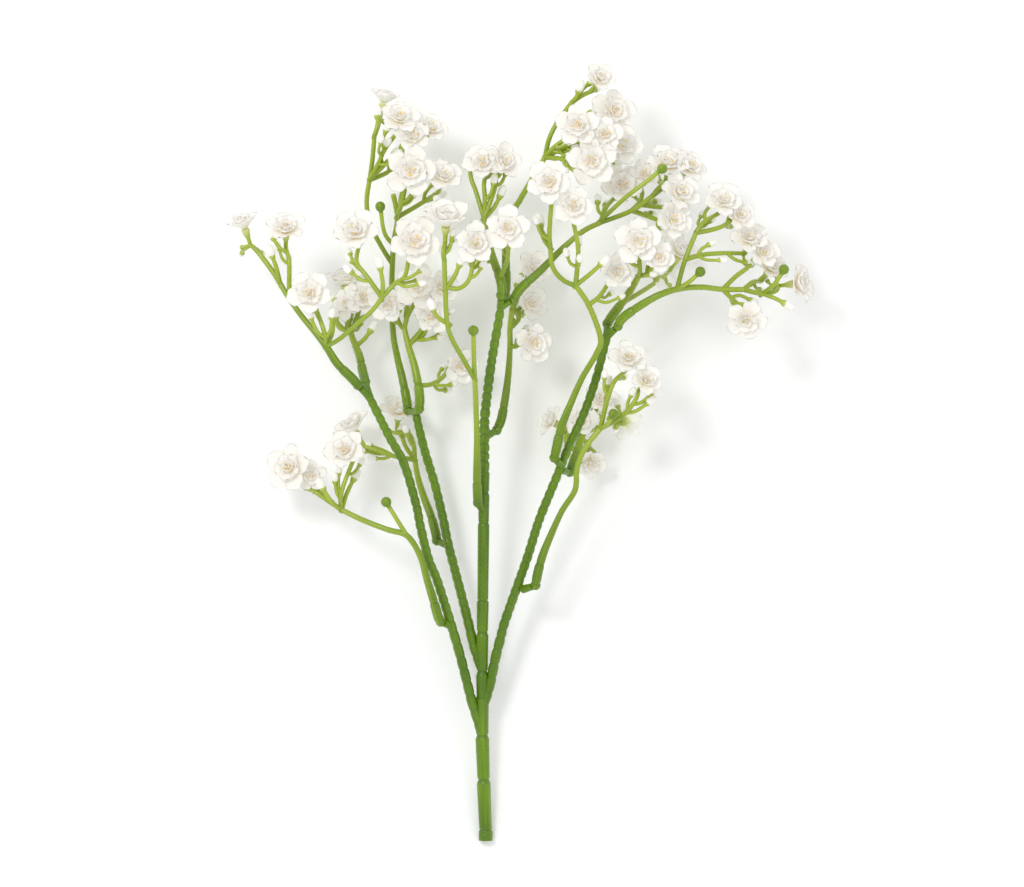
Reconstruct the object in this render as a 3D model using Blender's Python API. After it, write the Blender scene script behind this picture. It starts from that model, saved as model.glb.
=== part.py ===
import math
import random

import bmesh
import bpy
from mathutils import Vector
from mathutils.geometry import interpolate_bezier

# Gypsophila stem, moulded and with fabric-like blooms, lying on its back
# Stem and bloom positions are laid out in drawing units: across, down, and height in millimetres
UNIT = 0.0004
STEM_ACROSS = 485.0
CUT_DOWN = 846.0
CUT_Y = -0.002

# Thicknesses, in metres
TRUNK_R = 0.00265
TRUNK_TOP_R = 0.0026
LIMB_R = 0.00205
LIMB_END_R = 0.0017
COLLAR_R = 0.00285
COLLAR_LENGTH = 0.0042
COLLAR_HEIGHT = 0.0023
RING_PITCH = 0.0100
RING_STEP = 0.0003
NUB_R = 0.0017
SLEEVE_R = 0.0020
SPRAY_R = 0.00135
SPRAY_END_R = 0.00105
TWIG_R = 0.00085
CUP_R = 0.00175
CUP_LENGTH = 0.0040
BUD_R = 0.0021
TIP_R = 0.0018
TIP_LENGTH = 0.0056
ROOT_DEPTH = 0.0003
SAG = 0.00045

# Blooms, in metres
FOOT_R = 0.0016
CUP_GAP = 0.0003
BLADE = 0.0007

# Colours, linear
GREEN = (0.105, 0.270, 0.012)
LIGHT_GREEN = (0.300, 0.480, 0.060)
WHITE = (0.940, 0.925, 0.890)

# Main stem and its four limbs: across, down, height
LIMBS = {
    "trunk": [(485.4, 845.7, 2.35), (485.2, 834, 2.9), (484.2, 810, 5.2), (482.7, 765, 9), (482, 736, 11.5),
              (482, 700, 14)],
    "left": [(482, 738, 11.5), (476, 718, 13.5), (471, 702, 15), (460, 658, 18), (451, 627, 21), (437, 582, 26),
             (428, 559, 28.5), (420, 526, 32), (416, 505, 34), (404, 464, 38), (390, 438, 41), (376, 410, 43),
             (369, 396, 44)],
    "inner": [(482, 672, 16), (474, 649, 16.5), (468, 624, 17), (459.6, 590.7, 17.5), (448, 546, 18),
              (443, 521, 18.5), (434.7, 486, 20), (424.8, 453, 22), (419, 430, 24), (415, 412, 25)],
    "centre": [(482, 704, 13.7), (482, 660, 17), (483, 566, 25), (483.6, 516, 29), (484.3, 433, 36),
               (485, 414, 38), (489, 380, 41), (493, 353, 44), (498, 325, 47), (501, 307, 49)],
    "right": [(483, 707, 13.5), (489, 690, 15), (495, 661, 17.5), (500.3, 640, 19), (504.4, 624, 20.5),
              (516, 590.7, 23), (527.7, 557.2, 26), (539, 521, 29), (550.6, 492, 32), (560, 469, 34),
              (569.7, 444.4, 36.5), (583, 415.7, 39), (594.6, 383, 42), (602, 356, 44), (607, 336, 46)],
}

# Each spray: the peg on the limb that it is pushed on, its stem, and its twigs
# A bloom twig ends in a bloom: centre, facing, radius in drawing units, and how far open it is
SPRAYS = {
    "a": {
        "peg": [(451, 627, 21), (443, 624, 24.5)],
        "stem": [(438, 618, 28), (433, 600, 31), (427, 580, 34), (420, 556, 36), (407, 536, 37), (388, 530, 35),
                 (369, 523, 33), (355, 517, 31), (341, 510, 30)],
        "twigs": [
            ("bloom", [(341, 510, 30), (326, 500, 29), (310, 488, 27)], (288, 467, 30), (-.45, .2, .87), 25, .9),
            ("bloom", [(331, 502, 30), (322, 496, 28), (316, 489, 26)], (310, 476, 29), (.2, -.1, .95), 17, .8),
            ("bloom", [(341, 510, 30), (341, 492, 32)], (345, 449, 40), (-.3, .4, .86), 22, .8),
            ("tip", [(341, 510, 30), (331, 502, 33), (321, 486, 34)]),
            ("tip", [(341, 510, 30), (346, 494, 28), (354, 477, 26)]),
            ("bud", [(407, 536, 37), (397, 520, 38), (386, 502, 38)]),
        ],
    },
    "b": {
        "peg": [(448, 546, 18), (439, 543, 15)],
        "stem": [(435, 534, 13), (430, 516, 11), (423, 498, 9.5), (417, 478, 10), (414, 460, 11)],
        "twigs": [
            ("bloom", [(414, 460, 11), (396, 457, 14), (380, 452, 17)], (350, 425, 20), (-.5, .8, .35), 21, .7),
            ("bloom", [(414, 460, 11), (411, 440, 12)], (398, 408, 13), (.1, .8, .6), 20, .7),
            ("tip", [(414, 460, 11), (404, 446, 8), (400, 432, 7)]),
        ],
    },
    "c": {
        "peg": [(369, 396, 44), (366, 385, 39)],
        "stem": [(362, 370, 33), (359, 356, 29), (355, 346, 26), (350, 334, 22)],
        "twigs": [
            ("bloom", [(350, 334, 22), (344, 316, 15), (341, 304, 11)], (342, 276, 9.5), (-.1, .9, .4), 20, .7),
            ("bloom", [(350, 334, 22), (353, 324, 19)], (362, 297, 24), (.1, .3, .95), 21, .8),
            ("bloom", [(350, 334, 22), (346, 325, 21)], (346, 303, 23.5), (-.3, .1, .95), 17, .8),
            ("tip", [(355, 346, 26), (364, 338, 24), (371, 328, 22)]),
            ("tip", [(350, 334, 22), (338, 324, 22), (334, 314, 24)]),
        ],
    },
    "d": {
        "peg": [(369, 396, 44), (361, 388, 47.5)],
        "stem": [(352, 378, 50), (338, 364, 51.5), (327, 347, 53), (317, 334, 52), (302, 316, 50), (288, 296, 48),
                 (274, 273, 46), (259, 253, 44)],
        "twigs": [
            ("bloom", [(259, 253, 44), (252, 246, 43)], (243, 222, 44), (-.3, .9, .3), 18, .6),
            ("bloom", [(290, 300, 48), (290, 282, 50), (290, 262, 52)], (287, 228, 55), (.02, .75, .66), 21, .7),
            ("tip", [(281, 285, 47), (277, 268, 50), (272, 254, 52)]),
            ("bloom", [(327, 347, 53), (325, 332, 55)], (311, 294, 62), (-.1, .25, .96), 23, .85),
            ("tip", [(327, 347, 53), (333, 333, 50), (334, 316, 49)]),
            ("stem", [(327, 347, 53), (340, 340, 58), (357, 326, 62), (373, 312, 64), (383, 299, 65)]),
            ("bloom", [(383, 299, 65), (369, 279, 64), (358, 264, 62)], (357, 232, 65), (-.1, .55, .83), 24, .75),
            ("bloom", [(383, 299, 65), (396, 285, 65), (406, 277, 64)], (416, 243, 70), (.2, .3, .93), 27, .95),
            ("tip", [(383, 299, 65), (384, 285, 67), (381, 267, 68)]),
        ],
    },
    "f": {
        "peg": [(415, 412, 25), (409, 411, 20)],
        "stem": [(405.5, 398, 16.5), (401, 376, 15), (396, 355, 14.5), (392, 330, 16), (391, 284, 20),
                 (393, 244, 26), (397, 217, 30), (393, 194, 34)],
        "twigs": [
            ("stem", [(391, 262, 23), (381, 246, 24), (369, 222, 26), (366, 200, 27), (369, 179, 29)]),
            ("bloom", [(396, 217, 30), (402, 202, 40)], (411, 172, 56), (.1, .05, 1), 26, .95),
            ("bloom", [(396, 217, 30), (415, 206, 30), (430, 197, 33)], (444, 176, 51), (.2, .6, .75), 20, .8),
            ("stem", [(369, 179, 29), (372, 158, 31), (374, 135, 32)]),
            ("tip", [(374, 135, 32), (377, 124, 32), (377, 113, 31)]),
            ("bloom", [(374, 135, 32), (377, 126, 27), (379, 118, 24)], (384, 94, 23), (.2, .9, .2), 17, .5),
            ("bloom", [(369, 179, 29), (378, 163, 33), (384, 150, 36)], (400, 117, 43), (.15, .6, .75), 21, .8),
            ("bloom", [(369, 179, 29), (383, 165, 32), (398, 152, 38)], (413, 136, 45), (.1, .4, .9), 19, .8),
            ("bloom", [(369, 179, 29), (385, 172, 26), (405, 160, 25), (417, 150, 27)], (431, 127, 40.5),
             (.35, .6, .7), 19, .75),
            ("bud", [(393, 244, 26), (384, 232, 31), (380, 206, 34)]),
        ],
    },
    "g": {
        "peg": [(415, 412, 25), (418, 410, 30.5)],
        "stem": [(419.5, 398, 33), (418, 385, 33), (414, 365, 32), (408, 345, 30), (404, 328, 29)],
        "twigs": [
            ("bloom", [(404, 328, 29), (408, 314, 30)], (418, 287, 40), (-.1, .2, .97), 23, .85),
            ("bloom", [(408, 345, 30), (424, 326, 29), (434, 308, 34)], (442, 287, 42), (.3, .3, .9), 18, .8),
            ("bloom", [(408, 345, 30), (416, 338, 28), (424, 333, 28)], (431, 316, 40.5), (.2, .2, .95), 19, .75),
            ("bloom", [(404, 328, 29), (399, 323, 27)], (387, 304, 36), (-.1, -.3, .93), 20, .7),
            ("bloom", [(418, 385, 33), (431, 384, 29), (443, 376, 23)], (461, 366, 24), (.35, -.2, .9), 19, .7),
        ],
    },
    "h": {
        "peg": [(483.6, 512, 29), (479, 505, 34)],
        "stem": [(477.5, 494, 38.5), (477, 478, 42), (477, 440, 47), (476, 405, 51), (475, 380, 53)],
        "twigs": [
            ("bud", [(475, 380, 53), (474, 355, 54), (473.5, 331, 55)]),
            ("stem", [(475, 380, 53), (465, 362, 57), (449, 331, 62), (446, 291, 66), (445, 262, 68)]),
            ("bloom", [(445, 262, 68), (444, 254, 69)], (447, 219, 73), (.05, .85, .5), 22, .35),
            ("tip", [(446, 291, 66), (455, 278, 68), (461, 264, 69)]),
            ("bloom", [(446, 288, 66), (459, 290, 67), (470, 280, 69)], (476, 246, 79), (0, .15, .98), 22, .8),
            ("tip", [(449, 325, 62), (438, 318, 64), (433, 308, 66)]),
        ],
    },
    "i": {
        "peg": [(501, 307, 49), (501, 299, 53)],
        "stem": [(502, 290, 55), (500, 279, 54.5), (494, 262, 52), (488, 240, 48), (484, 219, 46)],
        "twigs": [
            ("bloom", [(484, 219, 46), (485, 200, 46), (484, 186, 46)], (483, 163, 52), (-.1, .4, .9), 21, .85),
            ("bloom", [(484, 219, 46), (491, 200, 46), (496, 184, 46)], (504, 162, 52), (.4, .4, .85), 20, .8),
            ("tip", [(484, 219, 46), (476, 192, 44), (471, 178, 43), (469, 160, 43)]),
            ("tip", [(484, 219, 46), (494, 208, 44), (501, 194, 43)]),
            ("bloom", [(500, 279, 54.5), (507, 262, 64), (508, 250, 69)], (508, 232, 84), (.03, .1, .99), 23, .95),
            ("tip", [(494, 262, 52), (484, 262, 50), (474, 262, 50)]),
        ],
    },
    "j": {
        "peg": [(484.6, 437, 36), (494, 432, 32)],
        "stem": [(501, 420, 29), (504, 405, 27), (507, 385, 26), (509, 365, 26), (510, 345, 27), (510, 328, 27),
                 (512, 308, 28)],
        "twigs": [
            ("bloom", [(510, 345, 27), (516, 346, 27)], (534, 343, 33), (.45, -.1, .88), 21, .9),
            ("bloom", [(510, 328, 27), (519, 318, 24)], (532, 302, 27), (.5, .2, .83), 19, .7),
            ("tip", [(512, 308, 28), (515, 292, 24), (518, 282, 22)]),
            ("bloom", [(512, 308, 28), (520, 294, 20), (525, 286, 15)], (535, 266, 17), (.3, .3, .9), 18, .7),
        ],
    },
    "k": {
        "peg": [(501, 307, 49), (504, 298, 44.5)],
        "stem": [(506, 284, 43), (506, 250, 42), (508, 220, 42), (519, 202, 44), (533, 178, 47), (545, 158, 49)],
        "twigs": [
            ("stem", [(545, 158, 49), (549, 140, 50), (558, 122, 50), (572, 103, 49)]),
            ("bloom", [(545, 158, 49), (563, 161, 56)], (591, 164, 68), (0, .1, .99), 25, .95),
            ("bloom", [(545, 158, 49), (563, 150, 54), (582, 145, 58)], (604, 137, 66), (.2, .3, .93), 19, .8),
            ("bloom", [(545, 158, 49), (556, 147, 54)], (577, 128, 66.5), (0, .2, .97), 22, .85),
            ("bloom", [(558, 122, 50), (580, 118, 44)], (614, 112, 50), (.4, .35, .85), 24, .85),
            ("bloom", [(545, 158, 49), (570, 160, 46), (597, 160, 41)], (622, 146, 53), (.35, .3, .89), 22, .8),
            ("bloom", [(572, 103, 49), (583, 96, 49)], (600, 79, 54), (.3, .5, .8), 17, .65),
            ("tip", [(572, 103, 49), (576, 98, 51), (579, 90, 52)]),
        ],
    },
    "l": {
        "peg": [(501, 307, 49), (511, 301, 51.5)],
        "stem": [(521, 289, 56), (540, 272, 58), (562, 250, 59), (582, 233, 59), (600, 224, 58)],
        "twigs": [
            ("stem", [(600, 224, 58), (631, 212, 57), (652, 197, 55)]),
            ("bloom", [(652, 197, 55), (658, 189, 54)], (668, 163, 53), (.1, .7, .7), 23, .75),
            ("bloom", [(652, 197, 55), (664, 188, 51), (676, 180, 49)], (690, 167, 52), (.5, .5, .7), 19, .75),
            ("bloom", [(640, 206, 56), (660, 208, 50)], (680, 193, 60.5), (.4, .5, .77), 22, .8),
            ("bloom", [(631, 212, 57), (650, 218, 50)], (673, 221, 63), (.4, .1, .9), 21, .85),
            ("bloom", [(600, 224, 58), (606, 208, 52)], (622, 185, 50), (.1, .3, .93), 22, .8),
            ("bloom", [(631, 212, 57), (639, 203, 50), (642, 193, 46)], (644, 174, 48), (.2, .4, .88), 17, .8),
            ("bud", [(600, 222, 58), (624, 200, 63), (645, 184, 65), (661, 171, 65)]),
        ],
    },
    "m": {
        "peg": [(562, 466, 34.5), (556, 460, 38.5)],
        "stem": [(556.7, 447, 42), (561, 428, 44), (570, 405, 48), (582, 378, 51), (596, 354, 54), (600, 338, 56),
                 (588, 306, 60), (575, 287, 62)],
        "twigs": [
            ("stem", [(575, 287, 62), (562, 281, 64), (552, 268, 66), (550, 250, 68)]),
            ("bloom", [(550, 250, 68), (549, 234, 73)], (548, 186, 86), (-.15, .3, .94), 24, .95),
            ("bloom", [(575, 287, 62), (577, 265, 68), (577, 247, 74)], (573, 210, 87), (.1, .2, .97), 21, .85),
            ("tip", [(575, 287, 62), (590, 275, 66), (602, 264, 68)]),
            ("bloom", [(588, 306, 60), (600, 296, 58)], (617, 272, 58), (.15, .1, .98), 20, .75),
            ("tip", [(550, 250, 68), (543, 240, 69), (540, 225, 70)]),
        ],
    },
    "n": {
        "peg": [(607, 336, 46), (607, 327, 42.5)],
        "stem": [(612, 316, 42.5), (621, 304, 45), (630, 291, 49), (638, 277, 54)],
        "twigs": [
            ("bloom", [(638, 277, 54), (639, 268, 60)], (637, 243, 70), (.05, .05, 1), 24, .95),
            ("bloom", [(638, 277, 54), (649, 273, 58)], (658, 259, 68), (.3, 0, .95), 17, .8),
            ("bloom", [(621, 304, 45), (644, 290, 34), (664, 276, 20)], (684, 248, 9.5), (.45, .75, .45), 21, .7),
            ("tip", [(638, 277, 54), (650, 276, 52), (658, 282, 50)]),
        ],
    },
    "o": {
        "peg": [(607, 336, 46), (615, 329, 49)],
        "stem": [(621, 320, 52), (631, 312, 54), (654, 298, 57), (676, 290, 57), (700, 288, 55), (722, 290, 52),
                 (743, 290, 49)],
        "twigs": [
            ("stem", [(676, 290, 57), (684, 261, 58), (695, 234, 57)]),
            ("bloom", [(695, 234, 57), (702, 224, 56)], (722, 201, 57), (.15, .5, .85), 20, .8),
            ("bloom", [(695, 234, 57), (710, 231, 54), (722, 227, 53)], (739, 216, 56), (.4, .2, .9), 17, .8),
            ("bloom", [(684, 261, 58), (700, 256, 56), (722, 254, 52)], (749, 238, 50), (.15, .6, .78), 20, .8),
            ("bloom", [(722, 290, 52), (735, 277, 49), (747, 268, 47)], (763, 252, 49), (.4, .3, .87), 18, .8),
            ("bud", [(676, 290, 57), (688, 283, 59), (699, 273, 60)]),
            ("bloom", [(722, 290, 52), (732, 300, 50)], (745, 321, 55), (0, -.4, .9), 21, .9),
            ("bloom", [(743, 290, 49), (753, 282, 44)], (772, 266, 38.5), (.4, .6, .7), 19, .75),
            ("bloom", [(743, 290, 49), (762, 294, 45), (776, 291, 42)], (801, 283, 40), (.85, .1, .5), 21, .75),
            ("bud", [(762, 294, 45), (774, 284, 49), (783, 270, 50)]),
            ("tip", [(762, 294, 45), (775, 299, 47), (786, 305, 47)]),
        ],
    },
    "p": {
        "peg": [(523, 590, 24), (533, 587, 28)],
        "stem": [(538, 573, 32), (543, 555, 35), (551, 535, 37.5), (562, 511, 40), (575, 490, 43), (577, 468, 45),
                 (585, 448, 46.5), (600, 429, 47)],
        "twigs": [
            ("bloom", [(600, 429, 47), (607, 400, 49), (614, 382, 49)], (628, 358, 52), (.1, .5, .86), 20, .75),
            ("bloom", [(600, 429, 47), (622, 416, 50), (635, 400, 52)], (646, 380, 56), (.3, .4, .87), 17, .6),
            ("bloom", [(622, 416, 50), (624, 424, 46)], (627, 424, 36), (.3, -.4, -.85), 17, .7),
            ("bud", [(600, 429, 47), (608, 423, 52), (613, 414, 54)]),
        ],
    },
    "r": {
        "peg": [(561, 470, 34), (568, 472, 29.5)],
        "stem": [(573, 464, 25), (577, 452, 21), (582, 438, 17.5), (588, 424, 15)],
        "twigs": [
            ("bloom", [(588, 424, 15), (592, 416, 13)], (602, 398, 16), (.2, .5, .85), 19, .7),
            ("bloom", [(582, 438, 17.5), (580, 432, 14)], (582, 420, 20), (-.1, .2, .97), 18, .8),
            ("bloom", [(577, 452, 21), (566, 441, 19)], (550, 420, 21), (-.7, .4, .4), 17, .7),
            ("bloom", [(582, 438, 17.5), (590, 446, 13)], (592, 464, 14), (.3, -.5, .8), 17, .7),
        ],
    },
}

# Blooms that touch the bloom before them in the same spray and share its node
JOINED = {"a2", "c3", "f2", "f5", "f6", "g2", "g3", "i2", "k2", "k3", "k5", "l2", "l3", "l4", "l6", "m2", "n2",
          "o2", "o4", "p2", "r2"}
# Blooms whose lowest petal rests on the table
RESTING = {"c1", "n3"}


def clear_scene():
    for old in list(bpy.data.objects):
        bpy.data.objects.remove(old)


def collection(name):
    made = bpy.data.collections.new(name)
    bpy.context.scene.collection.children.link(made)
    return made


def material(name, colour, roughness):
    made = bpy.data.materials.new(name)
    made.use_nodes = True
    shader = made.node_tree.nodes["Principled BSDF"]
    shader.inputs["Base Color"].default_value = (*colour, 1)
    shader.inputs["Roughness"].default_value = roughness
    shader.inputs["Metallic"].default_value = 0
    return made


def spot(point):
    across, down, height = point
    return Vector(((across - STEM_ACROSS) * UNIT, (CUT_DOWN - down) * UNIT + CUT_Y, height * 0.001))


def flowing(points, steps):
    """The points with a smooth bend between each two."""
    found = []
    for i in range(len(points) - 1):
        before = points[max(i - 1, 0)]
        after = points[min(i + 2, len(points) - 1)]
        start, end = points[i], points[i + 1]
        found += interpolate_bezier(start, start + (end - before) / 6, end - (after - start) / 6, end, steps + 1)[:-1]
    return found + [points[-1]]


def evenly(points, pitch):
    """Points at even distances along a path."""
    lengths = [0.0]
    for a, b in zip(points, points[1:]):
        lengths.append(lengths[-1] + (b - a).length)
    count = max(2, round(lengths[-1] / pitch))
    found = []
    for i in range(count + 1):
        at = lengths[-1] * i / count
        leg = max(k for k in range(len(points) - 1) if lengths[k] <= at)
        share = (at - lengths[leg]) / (lengths[leg + 1] - lengths[leg])
        found.append(points[leg].lerp(points[leg + 1], min(share, 1)))
    return found


def tube(points, radii, roundness):
    """A closed tube: four sides at roundness 0, six at 1, eight at 2."""
    points, radii = straightened(points, radii, SAG)
    curve = bpy.data.curves.new("tube", "CURVE")
    curve.dimensions = "3D"
    curve.bevel_depth = 1.0
    curve.bevel_resolution = roundness
    curve.use_fill_caps = True
    spline = curve.splines.new("POLY")
    spline.points.add(len(points) - 1)
    for target, point, radius in zip(spline.points, points, radii):
        target.co = (*point, 1)
        target.radius = radius
    bent = bpy.data.objects.new("tube", curve)
    PIECES.objects.link(bent)
    bpy.context.view_layer.update()
    graph = bpy.context.evaluated_depsgraph_get()
    mesh = bpy.data.meshes.new_from_object(bent.evaluated_get(graph))
    bpy.data.objects.remove(bent)
    welded(mesh)
    return mesh


def welded(mesh):
    edit = bmesh.new()
    edit.from_mesh(mesh)
    bmesh.ops.remove_doubles(edit, verts=edit.verts, dist=1e-6)
    bmesh.ops.recalc_face_normals(edit, faces=edit.faces)
    edit.to_mesh(mesh)
    edit.free()


def united(name, meshes, skin, solver="EXACT"):
    """One node: all the meshes joined as one solid."""
    first = bpy.data.objects.new(name, meshes[0])
    PLANT.objects.link(first)
    if len(meshes) > 1:
        others = bpy.data.collections.new(name + " pieces")
        for mesh in meshes[1:]:
            others.objects.link(bpy.data.objects.new("piece", mesh))
        PIECES.children.link(others)
        union = first.modifiers.new("union", "BOOLEAN")
        union.operand_type = "COLLECTION"
        union.operation = "UNION"
        union.solver = solver
        union.use_self = True
        union.collection = others
        bpy.context.view_layer.update()
        graph = bpy.context.evaluated_depsgraph_get()
        first.data = bpy.data.meshes.new_from_object(first.evaluated_get(graph))
        first.modifiers.remove(union)
        for piece in list(others.objects):
            bpy.data.objects.remove(piece)
        bpy.data.collections.remove(others)
    first.data.name = name
    first.data.materials.clear()
    first.data.materials.append(skin)
    return first


def ringed(path, start_r, end_r, roundness):
    """A limb with a step at each ring, like bamboo: each length widens to its top."""
    stations = evenly(flowing(path, 3), RING_PITCH)
    points, radii = [], []
    for i, station in enumerate(stations):
        share = i / (len(stations) - 1)
        radius = start_r + (end_r - start_r) * share
        points.append(station)
        radii.append(radius + RING_STEP)
        if i < len(stations) - 1:
            points.append(station.lerp(stations[i + 1], 0.22))
            radii.append(radius - RING_STEP * 0.5)
    return tube(points, radii, roundness)


def main_stem():
    meshes = [
        ringed([spot(p) for p in LIMBS["trunk"]], TRUNK_R, TRUNK_TOP_R, 1),
        ringed([spot(p) for p in LIMBS["centre"]], TRUNK_TOP_R - 0.0002, LIMB_END_R, 1),
        ringed([spot(p) for p in LIMBS["left"]], LIMB_R, LIMB_END_R, 1),
        ringed([spot(p) for p in LIMBS["inner"]], LIMB_R, LIMB_END_R, 1),
        ringed([spot(p) for p in LIMBS["right"]], LIMB_R, LIMB_END_R, 1),
    ]
    collar = [Vector((spot(LIMBS["trunk"][0]).x, y, COLLAR_HEIGHT)) for y in (CUT_Y, CUT_Y + COLLAR_LENGTH)]
    meshes.append(tube(collar, [COLLAR_R, COLLAR_R], 4))
    for spray in SPRAYS.values():
        meshes.append(tube([spot(p) for p in spray["peg"]], [NUB_R * 1.1, NUB_R * 0.9], 1))
    return meshes


def flattened(stem):
    """The small flat under the cut end, which the stem rests on."""
    corners = [Vector((x, y, z)) for x in (-0.05, 0.05) for y in (-0.05, 0.05) for z in (-0.02, 0)]
    edit = bmesh.new()
    bmesh.ops.convex_hull(edit, input=[edit.verts.new(c) for c in corners])
    table = bpy.data.meshes.new("table")
    edit.to_mesh(table)
    edit.free()
    welded(table)
    cutter = bpy.data.objects.new("table", table)
    PIECES.objects.link(cutter)
    cut = stem.modifiers.new("flat", "BOOLEAN")
    cut.operation = "DIFFERENCE"
    cut.solver = "EXACT"
    cut.object = cutter
    bpy.context.view_layer.update()
    graph = bpy.context.evaluated_depsgraph_get()
    stem.data = bpy.data.meshes.new_from_object(stem.evaluated_get(graph))
    stem.modifiers.remove(cut)
    bpy.data.objects.remove(cutter)


def straightened(points, radii, within):
    """The path without the points that it would hardly miss."""
    kept = [0]
    for i in range(1, len(points) - 1):
        before, after = points[kept[-1]], points[i + 1]
        ahead = (after - before).normalized()
        aside = (points[i] - before) - ahead * (points[i] - before).dot(ahead)
        if aside.length > within or max(abs(radii[i] - radii[kept[-1]]), abs(radii[i] - radii[i + 1])) > 0.6 * within:
            kept.append(i)
    kept.append(len(points) - 1)
    return [points[i] for i in kept], [radii[i] for i in kept]


def spray_stem(spray):
    """The sleeve that covers the peg's end and the stem that it carries."""
    peg = [spot(p) for p in spray["peg"]]
    start = peg[1] + (peg[1] - peg[0]).normalized() * CUP_GAP
    along = start + (peg[1] - peg[0]).normalized() * 0.0012
    points = [start] + flowing([along] + [spot(p) for p in spray["stem"]], 2)
    length = len(points) - 1
    radii = [SPRAY_R + (SPRAY_END_R - SPRAY_R) * i / length for i in range(length + 1)]
    radii[:3] = [SLEEVE_R * 0.84, SLEEVE_R, SLEEVE_R]
    return tube(points, radii, 1)


def rooted(points, order):
    """The path with its root sunk into the stem, a little deeper for each that leaves from there."""
    back = (points[1] - points[0]).normalized()
    return [points[0] - back * ROOT_DEPTH * (1 + 0.3 * order)] + points[1:]


def twig(kind, path, order):
    """A side stem, or a stalk with a ball bud or a closed tip at its end."""
    points = rooted(flowing([spot(p) for p in path], 2 if len(path) < 5 else 1), order)
    start_r = SPRAY_END_R * (0.99 - 0.009 * order)
    if kind == "stem":
        return tube(points, [start_r] * len(points), 0)
    radii = [start_r + (TWIG_R - start_r) * i / (len(points) - 1) for i in range(len(points))]
    ahead = (points[-1] - points[-3]).normalized()
    if kind == "bud":
        profile = [(-0.85, 0.5), (0, 1.05), (0.85, 0.5)]
        size, long = BUD_R, BUD_R
    else:
        profile = [(-0.5, 0.5), (0.1, 1.0), (0.6, 0.3)]
        size, long = TIP_R, TIP_LENGTH
    end = points[-1]
    while (points[-1] - end).length < long * (0.25 - profile[0][0]):
        points.pop()
        radii.pop()
    for along, wide in profile:
        points.append(end + ahead * along * long)
        radii.append(wide * size)
    return tube(points, radii, 1 if kind == "bud" else 0)


def axes(facing, roll):
    """Three directions for a bloom: two across and one along its axis."""
    up = Vector(facing).normalized()
    side = up.cross(Vector((0, 1, 0)) if abs(up.y) < 0.9 else Vector((1, 0, 0))).normalized()
    other = up.cross(side)
    return (side * math.cos(roll) + other * math.sin(roll),
            other * math.cos(roll) - side * math.sin(roll), up)


def bloom(base, facing, size, openness, seed):
    """A double bloom: five notched outer petals, five inner ones between them, and a low centre."""
    dice = random.Random(seed)
    side, other, up = axes(facing, dice.uniform(0, math.tau))
    lean = math.radians(30 + 45 * openness)
    length = min((size - FOOT_R) / math.sin(lean), size * 1.2)
    leans = [lean + math.radians(dice.uniform(-6, 6)) for _ in range(5)]
    lengths = [length * dice.uniform(0.9, 1.03) for _ in range(5)]
    edit = bmesh.new()

    def corner(angle, out, high):
        turn = math.radians(angle)
        return edit.verts.new(base + side * out * math.cos(turn) + other * out * math.sin(turn) + up * high)

    foot, under, over, valley, outer, inner = [], [], [], [], [], []
    for k in range(5):
        foot.append(corner(72 * k - 36, FOOT_R, 0))
        steps = ((-36, 0.56, 0), (-17, 1.0, 0), (17, 1.0, 0))
        for turn, share, tuck in steps:
            near = leans[k] if turn > -30 else (leans[k] + leans[k - 1]) / 2
            tilt = near - math.radians(tuck)
            reach = lengths[k] * share
            out, high = FOOT_R + reach * math.sin(tilt), reach * math.cos(tilt)
            under.append(corner(72 * k + turn, out, high))
            over.append(corner(72 * k + turn, out - BLADE * math.cos(tilt), high + BLADE * math.sin(tilt)))
        reach = length * 0.3
        out = FOOT_R * 0.8 + reach * math.sin(lean) - BLADE * 1.3 * math.cos(lean)
        valley.append(corner(72 * k - 36, out, reach * math.cos(lean) + BLADE * 1.3 * math.sin(lean)))
        tilt = max(lean - math.radians(28), math.radians(14))
        for turn, share in ((-36, 0.60), (0, 0.42)):
            reach = length * share * dice.uniform(0.95, 1.05)
            out, high = 0.0009 + reach * math.sin(tilt), 0.0012 + reach * math.cos(tilt)
            outer.append(corner(72 * k + turn, out, high))
            if turn < 0:
                inner.append(corner(72 * k + turn, out - BLADE * math.cos(tilt), high + BLADE * math.sin(tilt)))
    centre = corner(0, 0, 0.0012 + length * 0.2)

    edit.faces.new(foot)
    for k in range(5):
        notch, nearer, farther, after = [(3 * k + i) % 15 for i in range(4)]
        this, following = foot[k], foot[(k + 1) % 5]
        for face in ((this, under[notch], under[nearer]), (this, under[nearer], under[farther], following),
                     (following, under[farther], under[after])):
            edit.faces.new(face)
        low, end = valley[k], valley[(k + 1) % 5]
        for face in ((over[notch], over[nearer], low), (over[nearer], over[farther], end, low),
                     (over[farther], over[after], end)):
            edit.faces.new(face)
        edit.faces.new((low, outer[2 * k + 1], outer[2 * k]))
        edit.faces.new((low, end, outer[2 * k + 1]))
        edit.faces.new((end, outer[(2 * k + 2) % 10], outer[2 * k + 1]))
    for i in range(15):
        edit.faces.new((under[i], under[(i + 1) % 15], over[(i + 1) % 15], over[i]))
    for k in range(5):
        tip, notch, after = outer[2 * k], outer[2 * k + 1], outer[(2 * k + 2) % 10]
        lip, following = inner[k], inner[(k + 1) % 5]
        for face in ((tip, notch, lip), (notch, following, lip), (notch, after, following), (lip, following, centre)):
            edit.faces.new(face)
    bmesh.ops.triangulate(edit, faces=edit.faces)
    bmesh.ops.recalc_face_normals(edit, faces=edit.faces)
    mesh = bpy.data.meshes.new("bloom")
    edit.to_mesh(mesh)
    edit.free()
    return mesh


def foot_of(centre, facing, size, openness):
    """Where a bloom's foot sits for its petals to spread round that centre."""
    return centre - Vector(facing).normalized() * (size * (0.62 - 0.35 * openness))


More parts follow.
